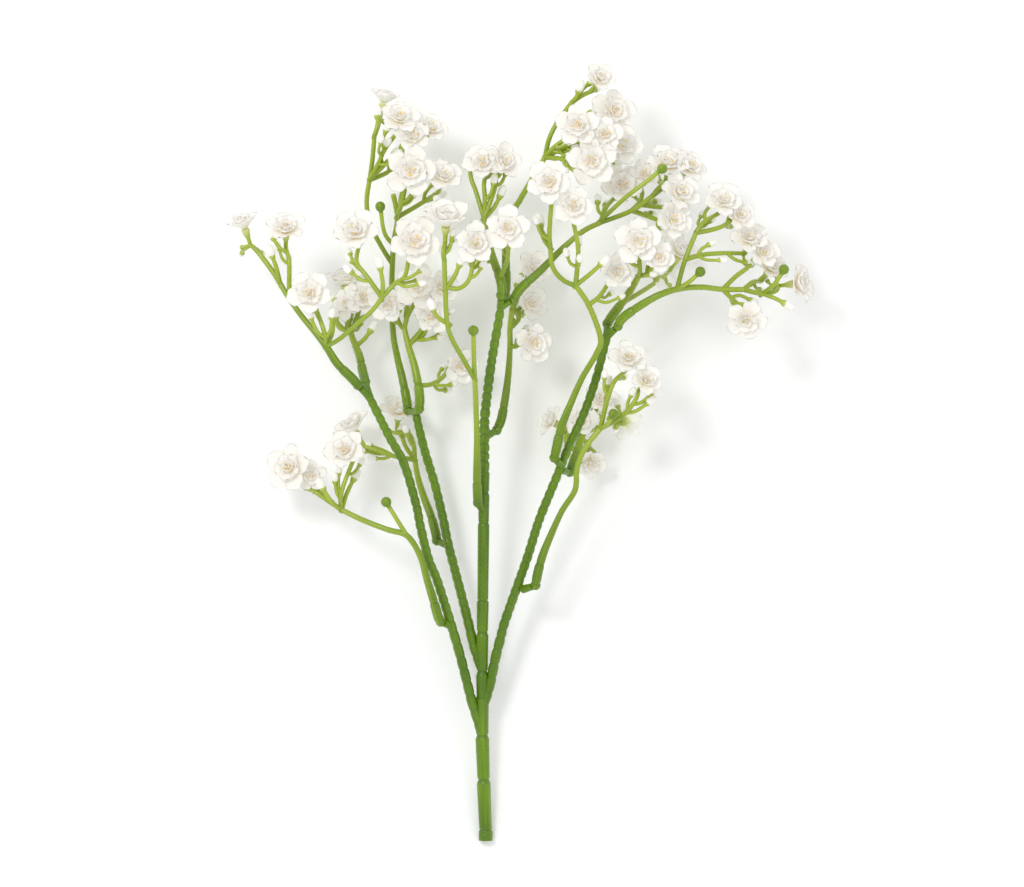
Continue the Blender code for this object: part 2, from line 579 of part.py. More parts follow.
def stalk(path, base, facing, order):
    """A bloom's stalk, which widens to the calyx cup under the petals."""
    up = Vector(facing).normalized()
    points = rooted(flowing([spot(p) for p in path] + [base - up * CUP_LENGTH * 1.9], 1), order)
    start_r = SPRAY_END_R * (0.99 - 0.009 * order)
    radii = [start_r + (TWIG_R - start_r) * i / (len(points) - 1) for i in range(len(points))]
    for back, radius in ((0.9, TWIG_R * 1.15), (0, CUP_R)):
        points.append(base - up * (CUP_GAP + CUP_LENGTH * back))
        radii.append(radius)
    return tube(points, radii, 0)


def rested(base, facing, size, openness, seed):
    """The foot moved up or down until the bloom's lowest petal touches the table."""
    lowest = min(v.co.z for v in bloom(base, facing, size, openness, seed).vertices)
    return base - Vector((0, 0, lowest))


clear_scene()
PLANT = collection("gypsophila stem")
PIECES = collection("pieces")
PIECES.hide_render = True
GREEN_SKIN = material("stem green", GREEN, 0.48)
LIGHT_SKIN = material("spray green", LIGHT_GREEN, 0.5)
WHITE_SKIN = material("bloom white", WHITE, 0.8)

stem_meshes = main_stem()
spray_meshes = {}
blooms = {}
seed = 0
for letter, spray in SPRAYS.items():
    meshes = [spray_stem(spray)]
    spray_meshes[letter] = meshes
    count = 0
    for order, item in enumerate(spray["twigs"]):
        if item[0] != "bloom":
            meshes.append(twig(item[0], item[1], order + 7))
            continue
        _, path, centre, facing, size, openness = item
        count += 1
        seed += 1
        name = f"{letter}{count}"
        size *= UNIT
        base = foot_of(spot(centre), facing, size, openness)
        if name in RESTING:
            base = rested(base, facing, size, openness, seed)
        meshes.append(stalk(path, base, facing, seed % 7))
        blooms[name] = bloom(base, facing, size, openness, seed)

stem = united("main_stem", stem_meshes, GREEN_SKIN)
flattened(stem)
for letter, meshes in spray_meshes.items():
    united("spray_" + letter, meshes, LIGHT_SKIN)
groups = []
for name in blooms:
    if name in JOINED:
        groups[-1].append(name)
    else:
        groups.append([name])
for members in groups:
    united("bloom_" + "_".join(members), [blooms[name] for name in members], WHITE_SKIN)
bpy.data.collections.remove(PIECES)
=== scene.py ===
import math
import random

import bpy
import bmesh
from mathutils import Matrix, Quaternion, Vector
from mathutils.geometry import interpolate_bezier


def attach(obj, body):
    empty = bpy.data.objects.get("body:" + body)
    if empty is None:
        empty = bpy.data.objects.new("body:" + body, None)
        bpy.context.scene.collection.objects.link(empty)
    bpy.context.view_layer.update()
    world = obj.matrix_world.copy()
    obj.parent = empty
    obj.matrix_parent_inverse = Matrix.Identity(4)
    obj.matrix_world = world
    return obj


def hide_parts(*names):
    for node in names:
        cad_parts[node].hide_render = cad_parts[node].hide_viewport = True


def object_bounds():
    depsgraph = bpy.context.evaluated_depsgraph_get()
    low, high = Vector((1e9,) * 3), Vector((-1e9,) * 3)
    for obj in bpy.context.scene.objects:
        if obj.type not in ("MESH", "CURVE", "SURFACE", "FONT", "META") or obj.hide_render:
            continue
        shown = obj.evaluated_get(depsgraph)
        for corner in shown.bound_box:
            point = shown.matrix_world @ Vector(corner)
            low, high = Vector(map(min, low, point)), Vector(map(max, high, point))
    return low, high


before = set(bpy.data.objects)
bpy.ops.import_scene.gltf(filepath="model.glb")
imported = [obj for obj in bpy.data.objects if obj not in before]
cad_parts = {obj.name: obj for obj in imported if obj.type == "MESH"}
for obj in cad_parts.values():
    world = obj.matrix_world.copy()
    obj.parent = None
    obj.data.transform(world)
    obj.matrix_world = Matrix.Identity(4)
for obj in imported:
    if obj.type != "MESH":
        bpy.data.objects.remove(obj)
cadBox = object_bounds()
print("frame loaded")

# gypsophila stem lying on its back, drawn across and down in units of 0.4 mm, with heights in mm
layout = {"unit": 0.0004, "stemAcross": 485.0, "cutDown": 846.0, "cutY": -0.002}

# Main stem and its four limbs: across, down, height
limbs = {
    "trunk": [(485.4, 845.7, 2.35), (485.2, 834, 2.9), (484.2, 810, 5.2), (482.7, 765, 9), (482, 736, 11.5),
              (482, 700, 14)],
    "left": [(482, 738, 11.5), (476, 718, 13.5), (471, 702, 15), (460, 658, 18), (451, 627, 21),
             (437, 582, 26), (428, 559, 28.5), (420, 526, 32), (416, 505, 34), (404, 464, 38),
             (390, 438, 41), (376, 410, 43), (369, 396, 44)],
    "inner": [(482, 672, 16), (474, 649, 16.5), (468, 624, 17), (459.6, 590.7, 17.5), (448, 546, 18),
              (443, 521, 18.5), (434.7, 486, 20), (424.8, 453, 22), (419, 430, 24), (415, 412, 25)],
    "centre": [(482, 704, 13.7), (482, 660, 17), (483, 566, 25), (483.6, 516, 29), (484.3, 433, 36),
               (485, 414, 38), (489, 380, 41), (493, 353, 44), (498, 325, 47), (501, 307, 49)],
    "right": [(483, 707, 13.5), (489, 690, 15), (495, 661, 17.5), (500.3, 640, 19), (504.4, 624, 20.5),
              (516, 590.7, 23), (527.7, 557.2, 26), (539, 521, 29), (550.6, 492, 32), (560, 469, 34),
              (569.7, 444.4, 36.5), (583, 415.7, 39), (594.6, 383, 42), (602, 356, 44), (607, 336, 46)],
}

# Each spray: the peg on the limb that it is pushed on and its stem, and then its twigs
# A bloom twig ends in a bloom: centre, facing, radius in drawing units, and how far open it is
sprays, twigs = {}, {}
sprays["a"] = {
    "peg": [(451, 627, 21), (443, 624, 24.5)],
    "stem": [(438, 618, 28), (433, 600, 31), (427, 580, 34), (420, 556, 36), (407, 536, 37), (388, 530, 35),
             (369, 523, 33), (355, 517, 31), (341, 510, 30)],
}
twigs["a"] = [
    ("bloom", [(341, 510, 30), (326, 500, 29), (310, 488, 27)], (288, 467, 30), (-.45, .2, .87), 25, .9),
    ("bloom", [(331, 502, 30), (322, 496, 28), (316, 489, 26)], (310, 476, 29), (.2, -.1, .95), 17, .8),
    ("bloom", [(341, 510, 30), (341, 492, 32)], (345, 449, 40), (-.3, .4, .86), 22, .8),
    ("tip", [(341, 510, 30), (331, 502, 33), (321, 486, 34)]),
    ("tip", [(341, 510, 30), (346, 494, 28), (354, 477, 26)]),
    ("bud", [(407, 536, 37), (397, 520, 38), (386, 502, 38)]),
]
sprays["b"] = {
    "peg": [(448, 546, 18), (439, 543, 15)],
    "stem": [(435, 534, 13), (430, 516, 11), (423, 498, 9.5), (417, 478, 10), (414, 460, 11)],
}
twigs["b"] = [
    ("bloom", [(414, 460, 11), (396, 457, 14), (380, 452, 17)], (350, 425, 20), (-.5, .8, .35), 21, .7),
    ("bloom", [(414, 460, 11), (411, 440, 12)], (398, 408, 13), (.1, .8, .6), 20, .7),
    ("tip", [(414, 460, 11), (404, 446, 8), (400, 432, 7)]),
]
sprays["c"] = {
    "peg": [(369, 396, 44), (366, 385, 39)],
    "stem": [(362, 370, 33), (359, 356, 29), (355, 346, 26), (350, 334, 22)],
}
twigs["c"] = [
    ("bloom", [(350, 334, 22), (344, 316, 15), (341, 304, 11)], (342, 276, 9.5), (-.1, .9, .4), 20, .7),
    ("bloom", [(350, 334, 22), (353, 324, 19)], (362, 297, 24), (.1, .3, .95), 21, .8),
    ("bloom", [(350, 334, 22), (346, 325, 21)], (346, 303, 23.5), (-.3, .1, .95), 17, .8),
    ("tip", [(355, 346, 26), (364, 338, 24), (371, 328, 22)]),
    ("tip", [(350, 334, 22), (338, 324, 22), (334, 314, 24)]),
]
sprays["d"] = {
    "peg": [(369, 396, 44), (361, 388, 47.5)],
    "stem": [(352, 378, 50), (338, 364, 51.5), (327, 347, 53), (317, 334, 52), (302, 316, 50), (288, 296, 48),
             (274, 273, 46), (259, 253, 44)],
}
twigs["d"] = [
    ("bloom", [(259, 253, 44), (252, 246, 43)], (243, 222, 44), (-.3, .9, .3), 18, .6),
    ("bloom", [(290, 300, 48), (290, 282, 50), (290, 262, 52)], (287, 228, 55), (.02, .75, .66), 21, .7),
    ("tip", [(281, 285, 47), (277, 268, 50), (272, 254, 52)]),
    ("bloom", [(327, 347, 53), (325, 332, 55)], (311, 294, 62), (-.1, .25, .96), 23, .85),
    ("tip", [(327, 347, 53), (333, 333, 50), (334, 316, 49)]),
    ("stem", [(327, 347, 53), (340, 340, 58), (357, 326, 62), (373, 312, 64), (383, 299, 65)]),
    ("bloom", [(383, 299, 65), (369, 279, 64), (358, 264, 62)], (357, 232, 65), (-.1, .55, .83), 24, .75),
    ("bloom", [(383, 299, 65), (396, 285, 65), (406, 277, 64)], (416, 243, 70), (.2, .3, .93), 27, .95),
    ("tip", [(383, 299, 65), (384, 285, 67), (381, 267, 68)]),
]
sprays["f"] = {
    "peg": [(415, 412, 25), (409, 411, 20)],
    "stem": [(405.5, 398, 16.5), (401, 376, 15), (396, 355, 14.5), (392, 330, 16), (391, 284, 20),
             (393, 244, 26), (397, 217, 30), (393, 194, 34)],
}
twigs["f"] = [
    ("stem", [(391, 262, 23), (381, 246, 24), (369, 222, 26), (366, 200, 27), (369, 179, 29)]),
    ("bloom", [(396, 217, 30), (402, 202, 40)], (411, 172, 56), (.1, .05, 1), 26, .95),
    ("bloom", [(396, 217, 30), (415, 206, 30), (430, 197, 33)], (444, 176, 51), (.2, .6, .75), 20, .8),
    ("stem", [(369, 179, 29), (372, 158, 31), (374, 135, 32)]),
    ("tip", [(374, 135, 32), (377, 124, 32), (377, 113, 31)]),
    ("bloom", [(374, 135, 32), (377, 126, 27), (379, 118, 24)], (384, 94, 23), (.2, .9, .2), 17, .5),
    ("bloom", [(369, 179, 29), (378, 163, 33), (384, 150, 36)], (400, 117, 43), (.15, .6, .75), 21, .8),
    ("bloom", [(369, 179, 29), (383, 165, 32), (398, 152, 38)], (413, 136, 45), (.1, .4, .9), 19, .8),
    ("bloom", [(369, 179, 29), (385, 172, 26), (405, 160, 25), (417, 150, 27)], (431, 127, 40.5),
     (.35, .6, .7), 19, .75),
    ("bud", [(393, 244, 26), (384, 232, 31), (380, 206, 34)]),
]
sprays["g"] = {
    "peg": [(415, 412, 25), (418, 410, 30.5)],
    "stem": [(419.5, 398, 33), (418, 385, 33), (414, 365, 32), (408, 345, 30), (404, 328, 29)],
}
twigs["g"] = [
    ("bloom", [(404, 328, 29), (408, 314, 30)], (418, 287, 40), (-.1, .2, .97), 23, .85),
    ("bloom", [(408, 345, 30), (424, 326, 29), (434, 308, 34)], (442, 287, 42), (.3, .3, .9), 18, .8),
    ("bloom", [(408, 345, 30), (416, 338, 28), (424, 333, 28)], (431, 316, 40.5), (.2, .2, .95), 19, .75),
    ("bloom", [(404, 328, 29), (399, 323, 27)], (387, 304, 36), (-.1, -.3, .93), 20, .7),
    ("bloom", [(418, 385, 33), (431, 384, 29), (443, 376, 23)], (461, 366, 24), (.35, -.2, .9), 19, .7),
]
sprays["h"] = {
    "peg": [(483.6, 512, 29), (479, 505, 34)],
    "stem": [(477.5, 494, 38.5), (477, 478, 42), (477, 440, 47), (476, 405, 51), (475, 380, 53)],
}
twigs["h"] = [
    ("bud", [(475, 380, 53), (474, 355, 54), (473.5, 331, 55)]),
    ("stem", [(475, 380, 53), (465, 362, 57), (449, 331, 62), (446, 291, 66), (445, 262, 68)]),
    ("bloom", [(445, 262, 68), (444, 254, 69)], (447, 219, 73), (.05, .85, .5), 22, .35),
    ("tip", [(446, 291, 66), (455, 278, 68), (461, 264, 69)]),
    ("bloom", [(446, 288, 66), (459, 290, 67), (470, 280, 69)], (476, 246, 79), (0, .15, .98), 22, .8),
    ("tip", [(449, 325, 62), (438, 318, 64), (433, 308, 66)]),
]
sprays["i"] = {
    "peg": [(501, 307, 49), (501, 299, 53)],
    "stem": [(502, 290, 55), (500, 279, 54.5), (494, 262, 52), (488, 240, 48), (484, 219, 46)],
}
twigs["i"] = [
    ("bloom", [(484, 219, 46), (485, 200, 46), (484, 186, 46)], (483, 163, 52), (-.1, .4, .9), 21, .85),
    ("bloom", [(484, 219, 46), (491, 200, 46), (496, 184, 46)], (504, 162, 52), (.4, .4, .85), 20, .8),
    ("tip", [(484, 219, 46), (476, 192, 44), (471, 178, 43), (469, 160, 43)]),
    ("tip", [(484, 219, 46), (494, 208, 44), (501, 194, 43)]),
    ("bloom", [(500, 279, 54.5), (507, 262, 64), (508, 250, 69)], (508, 232, 84), (.03, .1, .99), 23, .95),
    ("tip", [(494, 262, 52), (484, 262, 50), (474, 262, 50)]),
]
sprays["j"] = {
    "peg": [(484.6, 437, 36), (494, 432, 32)],
    "stem": [(501, 420, 29), (504, 405, 27), (507, 385, 26), (509, 365, 26), (510, 345, 27), (510, 328, 27),
             (512, 308, 28)],
}
twigs["j"] = [
    ("bloom", [(510, 345, 27), (516, 346, 27)], (534, 343, 33), (.45, -.1, .88), 21, .9),
    ("bloom", [(510, 328, 27), (519, 318, 24)], (532, 302, 27), (.5, .2, .83), 19, .7),
    ("tip", [(512, 308, 28), (515, 292, 24), (518, 282, 22)]),
    ("bloom", [(512, 308, 28), (520, 294, 20), (525, 286, 15)], (535, 266, 17), (.3, .3, .9), 18, .7),
]
sprays["k"] = {
    "peg": [(501, 307, 49), (504, 298, 44.5)],
    "stem": [(506, 284, 43), (506, 250, 42), (508, 220, 42), (519, 202, 44), (533, 178, 47), (545, 158, 49)],
}
twigs["k"] = [
    ("stem", [(545, 158, 49), (549, 140, 50), (558, 122, 50), (572, 103, 49)]),
    ("bloom", [(545, 158, 49), (563, 161, 56)], (591, 164, 68), (0, .1, .99), 25, .95),
    ("bloom", [(545, 158, 49), (563, 150, 54), (582, 145, 58)], (604, 137, 66), (.2, .3, .93), 19, .8),
    ("bloom", [(545, 158, 49), (556, 147, 54)], (577, 128, 66.5), (0, .2, .97), 22, .85),
    ("bloom", [(558, 122, 50), (580, 118, 44)], (614, 112, 50), (.4, .35, .85), 24, .85),
    ("bloom", [(545, 158, 49), (570, 160, 46), (597, 160, 41)], (622, 146, 53), (.35, .3, .89), 22, .8),
    ("bloom", [(572, 103, 49), (583, 96, 49)], (600, 79, 54), (.3, .5, .8), 17, .65),
    ("tip", [(572, 103, 49), (576, 98, 51), (579, 90, 52)]),
]
sprays["l"] = {
    "peg": [(501, 307, 49), (511, 301, 51.5)],
    "stem": [(521, 289, 56), (540, 272, 58), (562, 250, 59), (582, 233, 59), (600, 224, 58)],
}
twigs["l"] = [
    ("stem", [(600, 224, 58), (631, 212, 57), (652, 197, 55)]),
    ("bloom", [(652, 197, 55), (658, 189, 54)], (668, 163, 53), (.1, .7, .7), 23, .75),
    ("bloom", [(652, 197, 55), (664, 188, 51), (676, 180, 49)], (690, 167, 52), (.5, .5, .7), 19, .75),
    ("bloom", [(640, 206, 56), (660, 208, 50)], (680, 193, 60.5), (.4, .5, .77), 22, .8),
    ("bloom", [(631, 212, 57), (650, 218, 50)], (673, 221, 63), (.4, .1, .9), 21, .85),
    ("bloom", [(600, 224, 58), (606, 208, 52)], (622, 185, 50), (.1, .3, .93), 22, .8),
    ("bloom", [(631, 212, 57), (639, 203, 50), (642, 193, 46)], (644, 174, 48), (.2, .4, .88), 17, .8),
    ("bud", [(600, 222, 58), (624, 200, 63), (645, 184, 65), (661, 171, 65)]),
]
sprays["m"] = {
    "peg": [(562, 466, 34.5), (556, 460, 38.5)],
    "stem": [(556.7, 447, 42), (561, 428, 44), (570, 405, 48), (582, 378, 51), (596, 354, 54), (600, 338, 56),
             (588, 306, 60), (575, 287, 62)],
}
twigs["m"] = [
    ("stem", [(575, 287, 62), (562, 281, 64), (552, 268, 66), (550, 250, 68)]),
    ("bloom", [(550, 250, 68), (549, 234, 73)], (548, 186, 86), (-.15, .3, .94), 24, .95),
    ("bloom", [(575, 287, 62), (577, 265, 68), (577, 247, 74)], (573, 210, 87), (.1, .2, .97), 21, .85),
    ("tip", [(575, 287, 62), (590, 275, 66), (602, 264, 68)]),
    ("bloom", [(588, 306, 60), (600, 296, 58)], (617, 272, 58), (.15, .1, .98), 20, .75),
    ("tip", [(550, 250, 68), (543, 240, 69), (540, 225, 70)]),
]
sprays["n"] = {
    "peg": [(607, 336, 46), (607, 327, 42.5)],
    "stem": [(612, 316, 42.5), (621, 304, 45), (630, 291, 49), (638, 277, 54)],
}
twigs["n"] = [
    ("bloom", [(638, 277, 54), (639, 268, 60)], (637, 243, 70), (.05, .05, 1), 24, .95),
    ("bloom", [(638, 277, 54), (649, 273, 58)], (658, 259, 68), (.3, 0, .95), 17, .8),
    ("bloom", [(621, 304, 45), (644, 290, 34), (664, 276, 20)], (684, 248, 9.5), (.45, .75, .45), 21, .7),
    ("tip", [(638, 277, 54), (650, 276, 52), (658, 282, 50)]),
]
sprays["o"] = {
    "peg": [(607, 336, 46), (615, 329, 49)],
    "stem": [(621, 320, 52), (631, 312, 54), (654, 298, 57), (676, 290, 57), (700, 288, 55), (722, 290, 52),
             (743, 290, 49)],
}
twigs["o"] = [
    ("stem", [(676, 290, 57), (684, 261, 58), (695, 234, 57)]),
    ("bloom", [(695, 234, 57), (702, 224, 56)], (722, 201, 57), (.15, .5, .85), 20, .8),
    ("bloom", [(695, 234, 57), (710, 231, 54), (722, 227, 53)], (739, 216, 56), (.4, .2, .9), 17, .8),
    ("bloom", [(684, 261, 58), (700, 256, 56), (722, 254, 52)], (749, 238, 50), (.15, .6, .78), 20, .8),
    ("bloom", [(722, 290, 52), (735, 277, 49), (747, 268, 47)], (763, 252, 49), (.4, .3, .87), 18, .8),
    ("bud", [(676, 290, 57), (688, 283, 59), (699, 273, 60)]),
    ("bloom", [(722, 290, 52), (732, 300, 50)], (745, 321, 55), (0, -.4, .9), 21, .9),
    ("bloom", [(743, 290, 49), (753, 282, 44)], (772, 266, 38.5), (.4, .6, .7), 19, .75),
    ("bloom", [(743, 290, 49), (762, 294, 45), (776, 291, 42)], (801, 283, 40), (.85, .1, .5), 21, .75),
    ("bud", [(762, 294, 45), (774, 284, 49), (783, 270, 50)]),
    ("tip", [(762, 294, 45), (775, 299, 47), (786, 305, 47)]),
]
sprays["p"] = {
    "peg": [(523, 590, 24), (533, 587, 28)],
    "stem": [(538, 573, 32), (543, 555, 35), (551, 535, 37.5), (562, 511, 40), (575, 490, 43), (577, 468, 45),
             (585, 448, 46.5), (600, 429, 47)],
}
twigs["p"] = [
    ("bloom", [(600, 429, 47), (607, 400, 49), (614, 382, 49)], (628, 358, 52), (.1, .5, .86), 20, .75),
    ("bloom", [(600, 429, 47), (622, 416, 50), (635, 400, 52)], (646, 380, 56), (.3, .4, .87), 17, .6),
    ("bloom", [(622, 416, 50), (624, 424, 46)], (627, 424, 36), (.3, -.4, -.85), 17, .7),
    ("bud", [(600, 429, 47), (608, 423, 52), (613, 414, 54)]),
]
sprays["r"] = {
    "peg": [(561, 470, 34), (568, 472, 29.5)],
    "stem": [(573, 464, 25), (577, 452, 21), (582, 438, 17.5), (588, 424, 15)],
}
twigs["r"] = [
    ("bloom", [(588, 424, 15), (592, 416, 13)], (602, 398, 16), (.2, .5, .85), 19, .7),
    ("bloom", [(582, 438, 17.5), (580, 432, 14)], (582, 420, 20), (-.1, .2, .97), 18, .8),
    ("bloom", [(577, 452, 21), (566, 441, 19)], (550, 420, 21), (-.7, .4, .4), 17, .7),
    ("bloom", [(582, 438, 17.5), (590, 446, 13)], (592, 464, 14), (.3, -.5, .8), 17, .7),
]

# Blooms that touch the bloom before them in the same spray and share its node
joined = {"a2", "c3", "f2", "f5", "f6", "g2", "g3", "i2", "k2", "k3", "k5", "l2", "l3", "l4", "l6", "m2",
          "n2", "o2", "o4", "p2", "r2"}
# Blooms whose lowest petal rests on the table
resting = {"c1", "n3"}


def spot(point):
    across, down, height = point
    return Vector(((across - layout["stemAcross"]) * layout["unit"],
                   (layout["cutDown"] - down) * layout["unit"] + layout["cutY"], height * 0.001))


def spots(points):
    return [spot(point) for point in points]


def flowing(points, steps):
    # The points with a smooth bend between each two
    found = []
    for i in range(len(points) - 1):
        before = points[max(i - 1, 0)]
        after = points[min(i + 2, len(points) - 1)]
        start, end = points[i], points[i + 1]
        pulls = start + (end - before) / 6, end - (after - start) / 6
        found += interpolate_bezier(start, *pulls, end, steps + 1)[:-1]
    return found + [points[-1]]


def linear(r, g, b):
    # A colour read off the photo as 0 to 255, made linear
    return tuple((v / 255 / 12.92) if v < 10.3 else ((v / 255 + 0.055) / 1.055) ** 2.4 for v in (r, g, b))


class Socket:
    # A node output that can be added, multiplied and so on

    def __init__(self, tree, output):
        self.tree = tree
        self.output = output

    def maths(self, operation, *others, clamp=False):
        node = self.tree.nodes.new("ShaderNodeMath")
        node.operation = operation
        node.use_clamp = clamp
        for i, value in enumerate((self, *others)):
            plug(self.tree, value, node.inputs[i])
        return Socket(self.tree, node.outputs[0])

    def __add__(self, other):
        return self.maths("ADD", other)

    __radd__ = __add__

    def __mul__(self, other):
        return self.maths("MULTIPLY", other)

    __rmul__ = __mul__

    def __sub__(self, other):
        return self.maths("SUBTRACT", other)

    def __rsub__(self, other):
        return (self * -1) + other

    def __truediv__(self, other):
        return self.maths("DIVIDE", other)

    def clamped(self):
        return self.maths("ADD", 0, clamp=True)

    def ramp(self, start, end):
        # 0 below start, 1 above end, smooth between
        node = self.tree.nodes.new("ShaderNodeMapRange")
        node.interpolation_type = "SMOOTHSTEP"
        for name, value in (("Value", self), ("From Min", start), ("From Max", end)):
            plug(self.tree, value, node.inputs[name])
        return Socket(self.tree, node.outputs[0])


def plug(tree, value, socket):
    if isinstance(value, Socket):
        tree.links.new(value.output, socket)
    else:
        socket.default_value = value


class Nodes:
    # Adds nodes to one tree

    def __init__(self, tree):
        self.tree = tree

    def add(self, kind, settings=None, output=0, **values):
        node = self.tree.nodes.new(kind)
        for key, value in (settings or {}).items():
            setattr(node, key, value)
        for key, value in values.items():
            plug(self.tree, value, node.inputs[key.replace("_", " ")])
        return Socket(self.tree, node.outputs[output])

    def attribute(self, name):
        return self.add("ShaderNodeAttribute", {"attribute_name": name}, output="Fac")

    def named(self, label, kind="FLOAT"):
        return self.add("GeometryNodeInputNamedAttribute", {"data_type": kind}, Name=label)

    def stored(self, geometry, label, value):
        return self.add("GeometryNodeStoreNamedAttribute", {"data_type": "FLOAT", "domain": "POINT"},
                        Geometry=geometry, Name=label, Value=value)

    def noise(self, place, scale, detail=2.0):
        return self.add("ShaderNodeTexNoise", Vector=place, Scale=scale, Detail=detail)

    def principled(self, **values):
        for key, value in values.items():
            plug(self.tree, value, self.tree.nodes["Principled BSDF"].inputs[key.replace("_", " ")])

    def mixed(self, share, first, second):
        # A colour between two colours
        node = self.tree.nodes.new("ShaderNodeMix")
        node.data_type = "RGBA"
        plug(self.tree, share, node.inputs[0])
        for value, socket in ((first, node.inputs[6]), (second, node.inputs[7])):
            plug(self.tree, value if isinstance(value, Socket) else (*value, 1), socket)
        return Socket(self.tree, node.outputs[2])


def newMaterial(name):
    made = bpy.data.materials.new(name)
    made.use_nodes = True
    return made, Nodes(made.node_tree)


def petalMaterial(name, look):
    # Matt white petal: cream inside the throat, green at the foot outside, faint veins
    made, nodes = newMaterial(name)
    along = nodes.attribute("along")
    across = nodes.attribute("across")
    inside = nodes.attribute("inside")
    warmth = nodes.attribute("warmth")
    place = nodes.add("ShaderNodeTexCoord", output="Object")
    mottle = nodes.noise(place, look["mottleScale"], 3.0)
    streakPlace = nodes.add("ShaderNodeCombineXYZ", X=across * look["veins"], Y=along * 2.2, Z=warmth * 9)
    streak = nodes.noise(streakPlace, 1.0)
    body = nodes.mixed((mottle - 0.4).clamped() * 1.6, look["white"], look["shade"])
    body = nodes.mixed((streak - 0.52).clamped() * 1.5, body, look["vein"])
    throat = nodes.mixed(warmth, look["cream"], look["peach"])
    inner = nodes.mixed((1 - along.ramp(0.1, 0.55)) * 0.6, body, throat)
    outer = nodes.mixed((1 - along.ramp(0.02, 0.4)) * 0.9, body, look["foot"])
    colour = nodes.mixed(inside, outer, inner)
    # painted shade: the petal tips grey towards the edge colour
    colour = nodes.mixed(along.ramp(0.86, 1.0) * 0.55, colour, look["edge"])
    bump = nodes.add("ShaderNodeBump", Height=streak * 0.7 + mottle * 0.5, Strength=look["bump"],
                     Distance=0.0004)
    # painted glow: the petals give off a little of their own colour, as if lit from within
    nodes.principled(Base_Color=colour, Roughness=0.62 + mottle * 0.25, Normal=bump, Specular_IOR_Level=0.3,
                     Subsurface_Weight=look["glow"], Subsurface_Radius=(0.0012, 0.0010, 0.0007),
                     Subsurface_Scale=1.0, Emission_Color=colour, Emission_Strength=look["paintedGlow"])
    return made


def stemMaterial(name, look):
    # Moulded green plastic that pales towards the calyx cups, with painted shade darkening the ring grooves
    made, nodes = newMaterial(name)
    pale = nodes.attribute("pale")
    groove = nodes.attribute("groove")
    place = nodes.add("ShaderNodeTexCoord", output="Object")
    broad = nodes.noise(place, look["broadScale"])
    fine = nodes.noise(place, look["fineScale"], 4.0)
    around = nodes.attribute("around") * math.tau
    length = nodes.add("ShaderNodeSeparateXYZ", output="Y", Vector=place)
    streakPlace = nodes.add("ShaderNodeCombineXYZ", X=around.maths("COSINE"), Y=around.maths("SINE"),
                            Z=length * 22)
    streak = nodes.noise(streakPlace, 1.6)
    body = nodes.mixed((broad - 0.33).clamped() * 2.2, look["dark"], look["mid"])
    body = nodes.mixed((streak - 0.5).clamped() * 2.0, body, look["light"])
    # painted reflection: brownish streaks, placed by noise, stand in for a brownish reflection along the
    # stems
    body = nodes.mixed((0.42 - streak).clamped() * look["brownShare"], body, look["brown"])
    body = nodes.mixed(pale.ramp(0.0, 0.55), body, look["light"])
    body = nodes.mixed(pale.ramp(0.6, 1.0), body, look["calyx"])
    # painted shade: darker deep green in the grooves between rings
    body = nodes.mixed(groove.clamped() * look["grooveShade"], body, look["deep"])
    body = nodes.mixed((fine - 0.55).clamped() * 0.8, body, look["deep"])
    bump = nodes.add("ShaderNodeBump", Height=fine, Strength=0.22, Distance=0.00025)
    nodes.principled(Base_Color=body, Roughness=look["roughness"] + (fine - 0.5) * 0.3, Normal=bump,
                     Specular_IOR_Level=0.42, Subsurface_Weight=0.06, Subsurface_Scale=1.0,
                     Subsurface_Radius=(0.0006, 0.0010, 0.0002))
    return made


def stamenMaterial(name, look):
    # Yellow anthers on pale threads
    made, nodes = newMaterial(name)
    along = nodes.attribute("along")
    place = nodes.add("ShaderNodeTexCoord", output="Object")
    grain = nodes.noise(place, 1400.0)
    colour = nodes.mixed(along.ramp(0.45, 0.8), look["thread"], look["anther"])
    colour = nodes.mixed((grain - 0.5).clamped(), colour, look["dark"])
    nodes.principled(Base_Color=colour, Roughness=0.55 + grain * 0.3)
    return made


petalLook = {"white": linear(227, 225, 220), "shade": linear(218, 215, 207), "vein": linear(208, 205, 197),
             "cream": linear(230, 217, 180), "peach": linear(236, 206, 172), "foot": linear(208, 212, 156),
             # edge is a painted shade for the petal tips
             "edge": linear(206, 204, 198), "mottleScale": 260.0, "veins": 9.0, "bump": 0.3, "glow": 0.15,
             # the emission strength below is a painted glow
             "paintedGlow": 0.18}
stemLook = {"dark": linear(74, 110, 2), "mid": linear(100, 136, 6), "light": linear(134, 164, 26),
            # deep gives the painted shade in the ring grooves as well as the fine dark specks
            "calyx": linear(204, 210, 130), "deep": linear(52, 84, 4), "brown": linear(96, 88, 22),
            # brown, with brownShare, is a painted reflection in brownish streaks
            "broadScale": 45.0, "fineScale": 900.0, "grooveShade": 0.3, "roughness": 0.27, "brownShare": 3.0}
sprayLook = dict(stemLook, dark=linear(82, 116, 2), mid=linear(108, 142, 8), light=linear(160, 178, 58),
                 calyx=linear(204, 205, 132), brownShare=0.8)
stamenLook = {"thread": linear(250, 240, 204), "anther": linear(248, 214, 124), "dark": linear(240, 186, 96)}
petalSkin = petalMaterial("petal white", petalLook)
stemSkin = stemMaterial("main stem green", stemLook)
spraySkin = stemMaterial("spray green", sprayLook)
stamenSkin = stamenMaterial("stamen yellow", stamenLook)
print("materials made")


